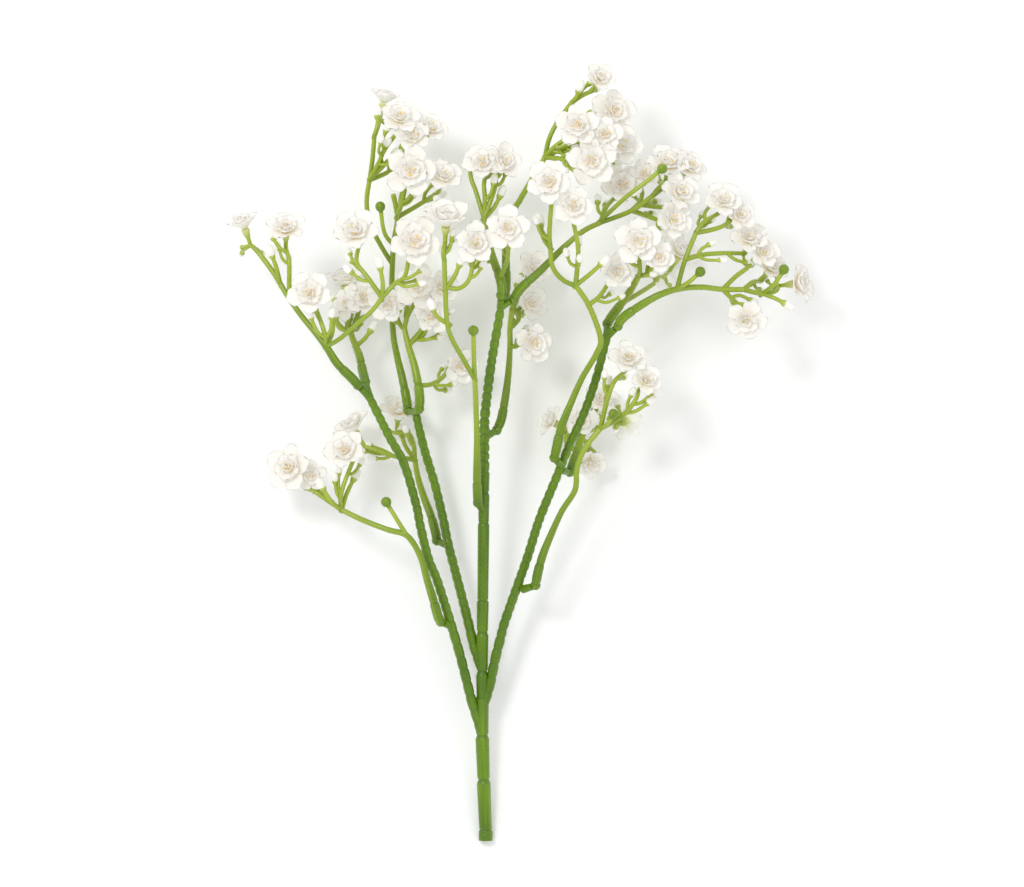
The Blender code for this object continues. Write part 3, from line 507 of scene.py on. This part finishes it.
def nodeGroup(name, inputs):
    # A geometry node group with named inputs. Returns it with its Nodes, its group input and output
    group = bpy.data.node_groups.new(name, "GeometryNodeTree")
    group.interface.new_socket("Geometry", in_out="INPUT", socket_type="NodeSocketGeometry")
    for label, kind in inputs:
        group.interface.new_socket(label, in_out="INPUT", socket_type=kind)
    group.interface.new_socket("Geometry", in_out="OUTPUT", socket_type="NodeSocketGeometry")
    entry = group.nodes.new("NodeGroupInput")
    way = group.nodes.new("NodeGroupOutput")
    return group, Nodes(group), {s.name: Socket(group, s) for s in entry.outputs if s.name}, way.inputs[0]


def tubeGroup():
    # Edges with a thickness become round tubes, stepped like bamboo where they are ribbed
    group, nodes, given, out = nodeGroup("stem tubes", (
        ("Sides", "NodeSocketInt"), ("Sample", "NodeSocketFloat"), ("Ring Depth", "NodeSocketFloat"),
        ("Notch", "NodeSocketFloat"), ("Material", "NodeSocketMaterial")))
    paths = nodes.add("GeometryNodeMeshToCurve", Mesh=given["Geometry"])
    paths = nodes.add("GeometryNodeResampleCurve", {"mode": "LENGTH"}, Curve=paths, Length=given["Sample"])
    thick, ribs, phase, pitch = [nodes.named(label) for label in ("thick", "ribs", "phase", "pitch")]
    share = phase.maths("FRACT")  # how far along its length between two rings
    since = share * pitch / given["Notch"]
    until = (1 - share) * pitch / given["Notch"]
    body = since.ramp(0.0, 1.0) * until.ramp(0.0, 2.6)
    radius = thick + ribs * given["Ring Depth"] * (0.8 * share - 0.25 + (body - 1) * 1.5)
    # painted shade: how far each point lies in a ring's groove, which the stem material darkens
    shadow = nodes.stored(paths, "groove", ribs * (1 - body))
    ring = nodes.add("GeometryNodeCurvePrimitiveCircle", Resolution=given["Sides"], Radius=1.0)
    turn = nodes.add("GeometryNodeSplineParameter", output="Factor")
    ring = nodes.stored(ring, "around", turn)
    skin = nodes.add("GeometryNodeCurveToMesh", Curve=shadow, Profile_Curve=ring, Scale=radius,
                     Fill_Caps=True)
    skin = nodes.add("GeometryNodeRealizeInstances", Geometry=skin)
    skin = nodes.add("GeometryNodeSetShadeSmooth", Geometry=skin)
    skin = nodes.add("GeometryNodeSetMaterial", Geometry=skin, Material=given["Material"])
    plug(group, skin, out)
    return group


def petalGroup():
    # One petal or stamen on each point, turned and sized by the point, with a soft crinkle
    group, nodes, given, out = nodeGroup("petal whorls", (
        ("Petal", "NodeSocketObject"), ("Crinkle", "NodeSocketFloat"), ("Crinkle Scale", "NodeSocketFloat"),
        ("Material", "NodeSocketMaterial")))
    turned, grown = [nodes.named(label, "FLOAT_VECTOR") for label in ("turned", "grown")]
    petal = nodes.add("GeometryNodeObjectInfo", output="Geometry", Object=given["Petal"], As_Instance=True)
    spread = nodes.add("GeometryNodeInstanceOnPoints", Points=given["Geometry"], Instance=petal,
                       Rotation=turned, Scale=grown)
    whole = nodes.add("GeometryNodeRealizeInstances", Geometry=spread)
    along = nodes.named("along")
    place = nodes.add("GeometryNodeInputPosition")
    wave = nodes.add("ShaderNodeTexNoise", output="Color", Vector=place, Scale=given["Crinkle Scale"],
                     Detail=1.0)
    lift = nodes.add("ShaderNodeVectorMath", {"operation": "SUBTRACT"})
    group.links.new(wave.output, lift.output.node.inputs[0])
    lift.output.node.inputs[1].default_value = (0.5, 0.5, 0.5)
    push = nodes.add("ShaderNodeVectorMath", {"operation": "SCALE"})
    group.links.new(lift.output, push.output.node.inputs[0])
    plug(group, given["Crinkle"] * along, push.output.node.inputs["Scale"])
    whole = nodes.add("GeometryNodeSetPosition", Geometry=whole, Offset=push)
    whole = nodes.add("GeometryNodeSetShadeSmooth", Geometry=whole)
    whole = nodes.add("GeometryNodeSetMaterial", Geometry=whole, Material=given["Material"])
    plug(group, whole, out)
    return group


def grownPiece(name, points, edges, attributes, group, settings):
    # A plain mesh piece made by a node group from points that carry attributes
    source = bpy.data.meshes.new(name)
    source.from_pydata(points, edges, [])
    for label, (kind, values) in attributes.items():
        layer = source.attributes.new(label, kind, "POINT")
        layer.data.foreach_set("vector" if kind == "FLOAT_VECTOR" else "value",
                               [x for v in values for x in v] if kind == "FLOAT_VECTOR" else values)
    piece = bpy.data.objects.new(name, source)
    bpy.context.scene.collection.objects.link(piece)
    modifier = piece.modifiers.new("grow", "NODES")
    modifier.node_group = group
    for item in group.interface.items_tree:
        if item.in_out == "INPUT" and item.name in settings:
            modifier[item.identifier] = settings[item.name]
    bpy.context.view_layer.update()
    graph = bpy.context.evaluated_depsgraph_get()
    finished = bpy.data.meshes.new_from_object(piece.evaluated_get(graph))
    piece.modifiers.remove(modifier)
    piece.data = finished
    finished.name = name
    return piece


def helperOf(name, edit):
    # An object that the petal groups copy, with its faces outwards
    bmesh.ops.recalc_face_normals(edit, faces=edit.faces)
    mesh = bpy.data.meshes.new(name)
    edit.to_mesh(mesh)
    edit.free()
    return bpy.data.objects.new(name, mesh)


def closeRings(edit, rings):
    # Faces between each two rings and over both ends
    count = len(rings[0])
    for low, high in zip(rings, rings[1:]):
        for k in range(count):
            edit.faces.new((low[k], low[(k + 1) % count], high[(k + 1) % count], high[k]))
    edit.faces.new(rings[0])
    edit.faces.new(rings[-1])


def layDown(piece):
    # Nothing of the piece reaches under the table
    for corner in piece.data.vertices:
        corner.co.z = max(corner.co.z, 0.0)


def petalMesh(name, shape):
    # One petal, closed, a unit long along +Y with its inner face towards +Z
    rows, columns = shape["rows"], shape["columns"]
    edit = bmesh.new()
    layers = {label: edit.verts.layers.float.new(label) for label in ("along", "across", "inside")}
    sheets = []
    for face in (0, 1):
        sheet = []
        for i in range(rows + 1):
            t = i / rows
            swell = math.sin(min(t / shape["widest"], 1) * math.pi / 2)
            half = shape["foot"] + (shape["width"] - shape["foot"]) * swell
            if t > shape["widest"]:
                over = (t - shape["widest"]) / (1 - shape["widest"])
                half *= math.sqrt(max(1 - over ** 2 * 0.84, 0))
            line = []
            for j in range(columns + 1):
                u = 2 * j / columns - 1
                dip = shape["notch"] * math.exp(-(u * 3.2) ** 2) * t
                reach = t * (1 - dip - shape["round"] * u * u * t * t)
                high = shape["cup"] * u * u * math.sin(t * math.pi * 0.8) + shape["curl"] * t ** 3
                high += shape["ripple"] * math.sin(u * 5.5 + 1.3) * t * t
                thick = shape["thick"] * (1 - 0.45 * t) * (1 - 0.5 * u * u)
                corner = edit.verts.new((u * half, reach, high + (thick if face else -thick) / 2))
                for label, value in (("along", t), ("across", u), ("inside", face)):
                    corner[layers[label]] = value
                line.append(corner)
            sheet.append(line)
        sheets.append(sheet)
    for face, sheet in enumerate(sheets):
        for i in range(rows):
            for j in range(columns):
                corners = [sheet[i][j], sheet[i][j + 1], sheet[i + 1][j + 1], sheet[i + 1][j]]
                edit.faces.new(corners if face else corners[::-1])
    under, over = sheets
    ringOf = [(0, j) for j in range(columns)] + [(i, columns) for i in range(rows)]
    ringOf += [(rows, j) for j in range(columns, 0, -1)] + [(i, 0) for i in range(rows, 0, -1)]
    for (a, b), (c, d) in zip(ringOf, ringOf[1:] + ringOf[:1]):
        edit.faces.new((under[a][b], under[c][d], over[c][d], over[a][b]))
    return helperOf(name, edit)


def stamenMesh(name):
    # A thread with an anther at its end, a unit long along +Y
    edit = bmesh.new()
    layer = edit.verts.layers.float.new("along")
    rings = []
    for t, radius in ((0, 0.05), (0.55, 0.045), (0.72, 0.13), (0.88, 0.15), (1.0, 0.06)):
        ring = []
        for k in range(5):
            turn = math.tau * k / 5
            corner = edit.verts.new((math.cos(turn) * radius, t, math.sin(turn) * radius))
            corner[layer] = t
            ring.append(corner)
        rings.append(ring)
    closeRings(edit, rings)
    return helperOf(name, edit)


# thicknesses in metres, as in the CAD
size = {"trunk": 0.00265, "trunkTop": 0.0026, "limb": 0.00205, "limbEnd": 0.0017, "nub": 0.0017,
        "sleeve": 0.0020, "spray": 0.00135, "sprayEnd": 0.00105, "twig": 0.00085, "cup": 0.00175,
        "cupLength": 0.0040,
        "bud": 0.0021, "tip": 0.0018, "tipLength": 0.0056, "rootDepth": 0.0003, "foot": 0.0016, "gap": 0.0003,
        "blade": 0.0007, "collar": 0.00285, "collarLength": 0.0042, "collarHeight": 0.0023}


class Paths:
    # Collects stems as edges with a thickness, ribs and paleness at each point

    def __init__(self):
        self.points, self.edges = [], []
        self.values = {"thick": [], "ribs": [], "pale": [], "phase": [], "pitch": []}

    def stem(self, points, thick, ribs=0.0, pale=(0.0, 0.0), rings=None):
        first = len(self.points)
        rings = rings or [0.0, 0.0024]
        at = 0.0
        for i, point in enumerate(points):
            share = i / (len(points) - 1)
            self.points.append(point)
            self.values["thick"].append(thick[i])
            self.values["ribs"].append(ribs[i] if isinstance(ribs, list) else ribs)
            blend = pale[0] + (pale[1] - pale[0]) * share
            self.values["pale"].append(pale[i] if isinstance(pale, list) else blend)
            at += (point - points[i - 1]).length if i else 0.0
            below = max([k for k in range(len(rings) - 1) if rings[k] <= at] or [0])
            self.values["pitch"].append(rings[below + 1] - rings[below])
            self.values["phase"].append(below + (at - rings[below]) / (rings[below + 1] - rings[below]))
        self.edges += [(first + i, first + i + 1) for i in range(len(points) - 1)]

    def piece(self, name, settings):
        attributes = {label: ("FLOAT", values) for label, values in self.values.items()}
        return grownPiece(name, self.points, self.edges, attributes, tubes, settings)


def fading(start, end, count):
    return [start + (end - start) * i / (count - 1) for i in range(count)]


def rooted(points, order):
    back = (points[1] - points[0]).normalized()
    return [points[0] - back * size["rootDepth"] * (1 + 0.3 * order)] + points[1:]


def footOf(centre, facing, width, openness):
    # Where a bloom's foot sits for its petals to spread round that centre
    return centre - Vector(facing).normalized() * (width * (0.62 - 0.35 * openness))


def axes(facing, roll):
    up = Vector(facing).normalized()
    side = up.cross(Vector((0, 1, 0)) if abs(up.y) < 0.9 else Vector((1, 0, 0))).normalized()
    other = up.cross(side)
    return (side * math.cos(roll) + other * math.sin(roll),
            other * math.cos(roll) - side * math.sin(roll), up)


def opened(facing, width, openness, seed):
    # A bloom's axes, its lean and petal length, and each outer petal's own, as in the CAD
    dice = random.Random(seed)
    turned = axes(facing, dice.uniform(0, math.tau))
    lean = math.radians(30 + 45 * openness)
    length = min((width - size["foot"]) / math.sin(lean), width * 1.2)
    leans = [lean + math.radians(dice.uniform(-6, 6)) for _ in range(5)]
    lengths = [length * dice.uniform(0.9, 1.03) for _ in range(5)]
    return turned, lean, length, leans, lengths


def outward(turned, turn, tilt):
    # The way across from a bloom's middle, along a petal there, and in to its face
    side, other, up = turned
    across = side * math.cos(turn) + other * math.sin(turn)
    along = across * math.sin(tilt) + up * math.cos(tilt)
    return across, along, up * math.sin(tilt) - across * math.cos(tilt)


class Whorls:
    # Collects petals or stamens as points that carry a turn and a size

    def __init__(self):
        self.points, self.turned, self.grown, self.warmth = [], [], [], []

    def put(self, base, along, inward, scale, warmth):
        across = along.cross(inward)
        turn = Matrix((across, along, inward)).transposed().to_euler()
        self.points.append(base)
        self.turned.append(tuple(turn))
        self.grown.append(scale)
        self.warmth.append(warmth)

    def piece(self, name, settings):
        attributes = {"turned": ("FLOAT_VECTOR", self.turned), "grown": ("FLOAT_VECTOR", self.grown),
                      "warmth": ("FLOAT", self.warmth)}
        return grownPiece(name, self.points, [], attributes, whorls, settings)


outerWhorl = {"longer": 1.15, "out": size["foot"] * 0.7, "rise": 0.0001, "spin": 0.12, "warmest": 0.9}
# angles in degrees, lengths as shares of the bloom's, seats in metres out from its middle and up
# spin and the stamens' wander are in radians
innerWhorls = (
    {"petals": 5, "first": -36, "wander": 8, "follows": 1, "leans": (-8, -18), "least": 0.3,
     "lengths": (0.70, 0.82), "seat": (0.0008, 0.0008), "wide": 1.0},
    {"petals": 4, "first": 0, "wander": 20, "follows": 1, "leans": (-24, -38), "least": 0.2,
     "lengths": (0.50, 0.60), "seat": (0.0005, 0.0012), "wide": 1.0},
    {"petals": 2, "first": 0, "wander": 30, "follows": 0, "leans": (10, 24), "least": 0.0,
     "lengths": (0.38, 0.46), "seat": (0.0001, 0.0014), "wide": 0.9},
)
stamenWhorl = {"stamens": 4, "wander": 0.5, "leans": (14, 34), "lengths": (0.42, 0.52), "thick": 0.0024,
               "seat": (0.0003, 0.0012), "warmth": 0.5}


def bloom(petals, inner, stamens, base, facing, width, openness, seed):
    # The petals of one bloom: five outer, five between them, four in the heart and two at its middle
    turned, lean, length, leans, lengths = opened(facing, width, openness, seed)
    up = turned[2]
    extra = random.Random(seed + 1000)
    warmth = extra.uniform(0, outerWhorl["warmest"])

    def petal(kind, turn, tilt, reach, out, rise, wide):
        across, along, inward = outward(turned, math.radians(turn), tilt)
        spin = Matrix.Rotation(extra.uniform(-outerWhorl["spin"], outerWhorl["spin"]), 3, along)
        kind.put(base + across * out + up * rise + inward * size["blade"] * 0.5, along, spin @ inward,
                 (reach * wide, reach, reach), warmth)

    for k in range(5):
        petal(petals, 72 * k, leans[k], lengths[k] * outerWhorl["longer"], outerWhorl["out"],
              outerWhorl["rise"], 1.0)
    for whorl in innerWhorls:
        for k in range(whorl["petals"]):
            turn = 360 / whorl["petals"] * k + whorl["first"]
            turn += extra.uniform(-whorl["wander"], whorl["wander"])
            tilt = lean * whorl["follows"] + math.radians(extra.uniform(*whorl["leans"]))
            reach = length * extra.uniform(*whorl["lengths"])
            petal(inner, turn, max(tilt, whorl["least"]), reach, *whorl["seat"], whorl["wide"])
    rule = stamenWhorl
    for k in range(rule["stamens"]):
        turn = math.tau * k / rule["stamens"] + extra.uniform(-rule["wander"], rule["wander"])
        across, along, inward = outward(turned, turn, math.radians(extra.uniform(*rule["leans"])))
        reach = length * extra.uniform(*rule["lengths"])
        stamens.put(base + across * rule["seat"][0] + up * rule["seat"][1], along, inward,
                    (rule["thick"], reach, rule["thick"]), rule["warmth"])


def lowest(base, facing, width, openness, seed):
    # How low the CAD bloom reaches: the tips of its outer petals
    turned, _, _, leans, lengths = opened(facing, width, openness, seed)
    found = []
    for k in range(5):
        for turn in (-17, 17):
            across, along, inward = outward(turned, math.radians(72 * k + turn), leans[k])
            for lift in (0, size["blade"]):
                found.append((base + across * size["foot"] + along * lengths[k] + inward * lift).z)
    return min(found)


def stalk(paths, path, base, facing, order):
    # A bloom's stalk and the calyx cup under the petals
    up = Vector(facing).normalized()
    points = rooted(flowing(spots(path) + [base - up * size["cupLength"] * 1.9], 6), order)
    thick = fading(size["sprayEnd"] * (0.99 - 0.009 * order), size["twig"], len(points))
    for back, radius in ((1.0, 0.5), (0.8, 0.66), (0.6, 0.8), (0.35, 0.9), (0.12, 1.0), (0.0, 0.92)):
        points.append(base - up * (size["gap"] + size["cupLength"] * back))
        thick.append(size["cup"] * radius)
    pale = [0.3 + 0.3 * i / len(points) for i in range(len(points) - 6)] + [0.62, 0.7, 0.78, 0.87, 0.95, 1.0]
    paths.stem(points, thick, pale=pale)
    return points[:-6]


def twig(paths, closed, kind, path, order):
    # A side stem, or a stalk with a ball bud or a closed white tip
    points = rooted(flowing(spots(path), 6), order)
    start = size["sprayEnd"] * (0.99 - 0.009 * order)
    if kind == "stem":
        paths.stem(points, [start] * len(points), pale=(0.22, 0.42))
        return
    tipped(paths, closed, kind, points, start, 1.0)


def tipped(paths, closed, kind, points, start, share):
    # A stalk that ends in a ball bud or a closed white one, at this share of full size
    thick = fading(start, size["twig"] * share, len(points))
    ahead = (points[-1] - points[-4]).normalized()
    end = points[-1]
    if kind == "bud":
        profile = [(-0.95, 0.42), (-0.75, 0.68), (-0.4, 0.92), (0.0, 1.0), (0.4, 0.93), (0.72, 0.7),
                   (0.95, 0.3)]
        wide, long = size["bud"], size["bud"]
    else:
        profile = [(-0.5, 0.46), (-0.4, 0.6), (-0.28, 0.78), (-0.18, 0.88), (-0.08, 0.9)]
        wide, long = size["tip"] * share * 0.94, size["tipLength"] * share
        closed.put(end - ahead * long * 0.28, ahead, axes(ahead, 0.7)[0], (long * 0.95,) * 3, 0.2)
    while (points[-1] - end).length < long * (0.15 - profile[0][0]):
        points.pop()
        thick.pop()
    pale = fading(0.28 if share == 1 else 0.45, 0.5, len(points))
    for i, (along, girth) in enumerate(profile):
        points.append(end + ahead * along * long)
        thick.append(girth * wide)
        pale.append(0.15 if kind == "bud" else 0.5 + 0.1 * i)
    paths.stem(points, thick, pale=pale)


smallBud = {"tries": 20, "most": 3, "along": (0.3, 0.95), "spread": (38, 62), "reach": (0.0065, 0.0105),
            "share": (0.66, 0.92), "stalk": 0.85, "edge": 0.002, "clear": 0.85, "apart": 0.0015,
            "room": 0.0012}


def smallBuds(paths, closed, stem, centres, seed):
    # Small closed buds on short stalks beside a bloom's own, clear of the blooms
    dice = random.Random(seed + 5000)
    made = 0
    for _ in range(smallBud["tries"]):
        i = int(dice.uniform(*smallBud["along"]) * (len(stem) - 2))
        ahead = (stem[i + 1] - stem[i]).normalized()
        hinge = ahead.orthogonal().normalized()
        hinge.rotate(Quaternion(ahead, dice.uniform(0, math.tau)))
        out = ahead.copy()
        out.rotate(Quaternion(hinge, math.radians(dice.uniform(*smallBud["spread"]))))
        reach = dice.uniform(*smallBud["reach"])
        end = stem[i] + (out * 0.7 + ahead * 0.45) * reach
        edge = smallBud["edge"]
        within = all(cadBox[0][k] + edge < end[k] < cadBox[1][k] - edge for k in range(3))
        if not within or any((end - centre).length < width * smallBud["clear"] + smallBud["apart"]
                             for centre, width in centres):
            continue
        middle = stem[i] + out * reach * 0.45
        tipped(paths, closed, "tip", flowing([stem[i], middle, end], 6), size["twig"] * smallBud["stalk"],
               dice.uniform(*smallBud["share"]))
        centres.append((end, smallBud["room"]))
        made += 1
        if made == smallBud["most"]:
            return


def budMesh(name, shape):
    # A closed bud: petals wrapped in a spindle with furled edges, a unit long along +Y
    edit = bmesh.new()
    layers = {label: edit.verts.layers.float.new(label) for label in ("along", "across", "inside")}
    rings = []
    for i in range(shape["rows"] + 1):
        t = i / shape["rows"]
        radius = shape["width"] * math.sqrt(max(1 - ((t - 0.46) / 0.56) ** 2, 0.02))
        ring = []
        for j in range(shape["columns"]):
            turn = math.tau * j / shape["columns"]
            fold = (turn * 3 / math.tau + t * 0.9) % 1
            wide = radius * (1 - shape["fold"] * (1 - fold) ** 3 * min(1, 3 * t))
            corner = edit.verts.new((math.cos(turn) * wide, t, math.sin(turn) * wide))
            for label, value in (("along", 0.15 + 0.85 * t), ("across", fold), ("inside", 0)):
                corner[layers[label]] = value
            ring.append(corner)
        rings.append(ring)
    closeRings(edit, rings)
    return helperOf(name, edit)


tubes = tubeGroup()
whorls = petalGroup()
outerShape = {"rows": 9, "columns": 10, "foot": 0.12, "width": 0.42,
              "widest": 0.68, "notch": 0.03, "round": 0.08, "cup": 0.14, "curl": -0.04, "ripple": 0.012,
              "thick": 0.05}
innerShape = dict(outerShape, width=0.47, foot=0.16, cup=0.17, curl=0.07, ripple=0.03, thick=0.07)
outerPetal = petalMesh("outer petal", outerShape)
innerPetal = petalMesh("inner petal", innerShape)
stamen = stamenMesh("stamen")
closedBud = budMesh("closed bud", {"rows": 10, "columns": 14, "width": 0.34, "fold": 0.16})
petalSettings = {"Petal": outerPetal, "Crinkle": 0.0011, "Crinkle Scale": 210.0, "Material": petalSkin}
innerSettings = dict(petalSettings, Petal=innerPetal)
stamenSettings = {"Petal": stamen, "Crinkle": 0.0003, "Crinkle Scale": 300.0, "Material": stamenSkin}
budSettings = dict(petalSettings, Petal=closedBud, Crinkle=0.0003)
stemSettings = {"Sides": 14, "Sample": 0.00035, "Ring Depth": 0.00030,
                "Notch": 0.0007, "Material": stemSkin}
spraySettings = {"Sides": 10, "Sample": 0.00045, "Ring Depth": 0.00022,
                 "Notch": 0.0005, "Material": spraySkin}


def limb(paths, name, start, end):
    # A limb with its rings: long lengths where segments say so, uneven short ones elsewhere
    points = flowing(spots(limbs[name]), 8)
    dice = random.Random(name)
    rings = [0.0]
    for long in segments.get(name, ()):
        rings.append(rings[-1] + long)
    while rings[-1] < 0.4:
        rings.append(rings[-1] + dice.uniform(*segments["short"]))
    depth = fading(*segments["depth"].get(name, (0.62, 0.62)), len(points))
    paths.stem(points, fading(start, end, len(points)), ribs=depth, pale=(0.0, 0.12), rings=rings)


# lengths between rings, in metres
segments = {"short": (0.0030, 0.0042), "depth": {"trunk": (1.5, 1.2), "centre": (1.2, 0.8)},
            "trunk": (0.0040, 0.0216, 0.0184, 0.0250, 0.0170),
            "centre": (0.0124, 0.0168, 0.0122, 0.0330, 0.0122, 0.0090),
            "left": (0.0060, 0.0052, 0.0066, 0.0050, 0.0058, 0.0048, 0.0060, 0.0052, 0.0046),
            "inner": (0.0066, 0.0050, 0.0056, 0.0046, 0.0050),
            "right": (0.0058, 0.0066, 0.0054, 0.0060, 0.0052)}


# main stem
trunk = Paths()
limb(trunk, "trunk", size["trunk"], size["trunkTop"])
limb(trunk, "centre", size["trunkTop"] - 0.0002, size["limbEnd"])
for name in ("left", "inner", "right"):
    limb(trunk, name, size["limb"], size["limbEnd"])
collar = [Vector((spot(limbs["trunk"][0]).x, layout["cutY"] + back, size["collarHeight"]))
          for back in (0, 0.0002, 0.0038, size["collarLength"])]
trunk.stem(collar, [size["collar"] * k for k in (0.95, 1.0, 1.0, 0.94)])
for spray in sprays.values():
    peg = spots(spray["peg"])
    trunk.stem([peg[0].lerp(peg[1], k / 6) for k in range(7)],
               fading(size["nub"] * 1.02, size["nub"] * 0.82, 7), pale=(0.0, 0.1))
mainStem = trunk.piece("main_stem_tubes", stemSettings)
layDown(mainStem)  # worn flat under the foot
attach(mainStem, "root")
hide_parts("main_stem")
print("main stem grown")

# sprays and blooms
sleeves = {"full": 1.04, "mouth": 0.8, "bend": 0.0012, "fades": 0.034, "fading": 1.3, "ringed": 0.016,
           "ringFade": 0.004, "rings": [0.0, 0.0028, 0.0115, 0.0320, 0.5], "pale": (0.0, 0.42)}
seed = 0
stamens, closed = Whorls(), Whorls()
centres = [(spot(item[2]), item[4] * layout["unit"]) for items in twigs.values() for item in items
           if item[0] == "bloom"]
groups = []
for letter, spray in sprays.items():
    paths = Paths()
    peg = spots(spray["peg"])
    ahead = (peg[1] - peg[0]).normalized()
    start = peg[1] + ahead * size["gap"]
    points = [start] + flowing([start + ahead * sleeves["bend"]] + spots(spray["stem"]), 6)
    thick = fading(size["spray"], size["sprayEnd"], len(points))
    ribs = [0.0] * len(points)
    for i, point in enumerate(points):
        beyond = (point - start).length
        sleeve = min(1.0, max(0.0, 1 - beyond / sleeves["fades"])) ** sleeves["fading"]
        thick[i] += (size["sleeve"] * sleeves["full"] - thick[i]) * sleeve
        ribs[i] = min(1.0, max(0.0, (sleeves["ringed"] - beyond) / sleeves["ringFade"]))
    thick[0] = size["sleeve"] * sleeves["mouth"]
    paths.stem(points, thick, ribs=ribs, pale=sleeves["pale"], rings=sleeves["rings"])
    count = 0
    for order, item in enumerate(twigs[letter]):
        if item[0] != "bloom":
            twig(paths, closed, item[0], item[1], order + 7)
            continue
        _, path, centre, facing, width, openness = item
        count += 1
        seed += 1
        name = f"{letter}{count}"
        width *= layout["unit"]
        base = footOf(spot(centre), facing, width, openness)
        if name in resting:
            base.z -= lowest(base, facing, width, openness, seed)
        stem = stalk(paths, path, base, facing, seed % 7)
        smallBuds(paths, closed, stem, centres, seed)
        if name in joined:
            groups[-1][0].append(name)
        else:
            groups.append(([name], Whorls(), Whorls()))
        bloom(groups[-1][1], groups[-1][2], stamens, base, facing, width, openness, seed)
    piece = paths.piece("spray_" + letter + "_stems", spraySettings)
    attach(piece, "root")
    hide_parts("spray_" + letter)
print("sprays grown")

for names, outer, inner in groups:
    label = "bloom_" + "_".join(names)
    for kind, given, settings in (("outer", outer, petalSettings), ("inner", inner, innerSettings)):
        piece = given.piece(label + "_" + kind, settings)
        layDown(piece)
        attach(piece, "root")
        if kind == "outer":
            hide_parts(label)
print("blooms grown")

for label, given, settings in (("stamens", stamens, stamenSettings), ("closed_buds", closed, budSettings)):
    piece = given.piece(label, settings)
    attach(piece, "root")
for helper in (outerPetal, innerPetal, stamen, closedBud):
    bpy.data.objects.remove(helper)
print("stamens and buds grown")

# floor, light and camera
floorMesh = bpy.data.meshes.new("floor")
floorMesh.from_pydata([(x, y, -0.0002) for x, y in ((-3, -3), (3, -3), (3, 3), (-3, 3))], [], [(0, 1, 2, 3)])
floor = bpy.data.objects.new("floor", floorMesh)
bpy.context.scene.collection.objects.link(floor)
floorSkin, floorNodes = newMaterial("floor white")
floorGrain = floorNodes.noise(floorNodes.add("ShaderNodeTexCoord", output="Object"), 40.0)
floorNodes.principled(Base_Color=floorNodes.mixed(floorGrain, (0.93,) * 3, (0.96,) * 3),
                      Roughness=0.8 + floorGrain * 0.1)
floorMesh.materials.append(floorSkin)

lighting = {"world": 0.94, "key": (-0.45, 0.62, 1.25), "keyPower": 5.5, "keySize": 0.3,
            "fill": (0.9, 0.1, 0.9), "fillPower": 1.0, "fillSize": 1.2}
world = bpy.data.worlds.new("studio")
world.use_nodes = True
world.node_tree.nodes["Background"].inputs["Color"].default_value = (1, 1, 1, 1)
world.node_tree.nodes["Background"].inputs["Strength"].default_value = lighting["world"]
bpy.context.scene.world = world
aim = Vector((0.011, 0.16, 0.03))
for label in ("key", "fill"):
    lamp = bpy.data.lights.new(label, "AREA")
    lamp.energy = lighting[label + "Power"]
    lamp.size = lighting[label + "Size"]
    lampObject = bpy.data.objects.new(label, lamp)
    lampObject.location = lighting[label]
    lampObject.rotation_euler = (aim - lampObject.location).to_track_quat("-Z", "Y").to_euler()
    bpy.context.scene.collection.objects.link(lampObject)

lens = {"focal": 250.0, "sensor": 36.0, "centre": (512.0, 443.5), "across": 1024.0, "depth": 0.040}
camera = bpy.data.cameras.new("camera")
camera.lens = lens["focal"]
camera.sensor_width = lens["sensor"]
camera.sensor_fit = "HORIZONTAL"
camera.clip_end = 20
cameraObject = bpy.data.objects.new("camera", camera)
middle = spot((*lens["centre"], 0))
distance = lens["across"] * layout["unit"] * lens["focal"] / lens["sensor"]
cameraObject.location = (middle.x, middle.y, lens["depth"] + distance)
bpy.context.scene.collection.objects.link(cameraObject)
bpy.context.scene.camera = cameraObject
bpy.context.scene.view_settings.view_transform = "Standard"
print("stage set")
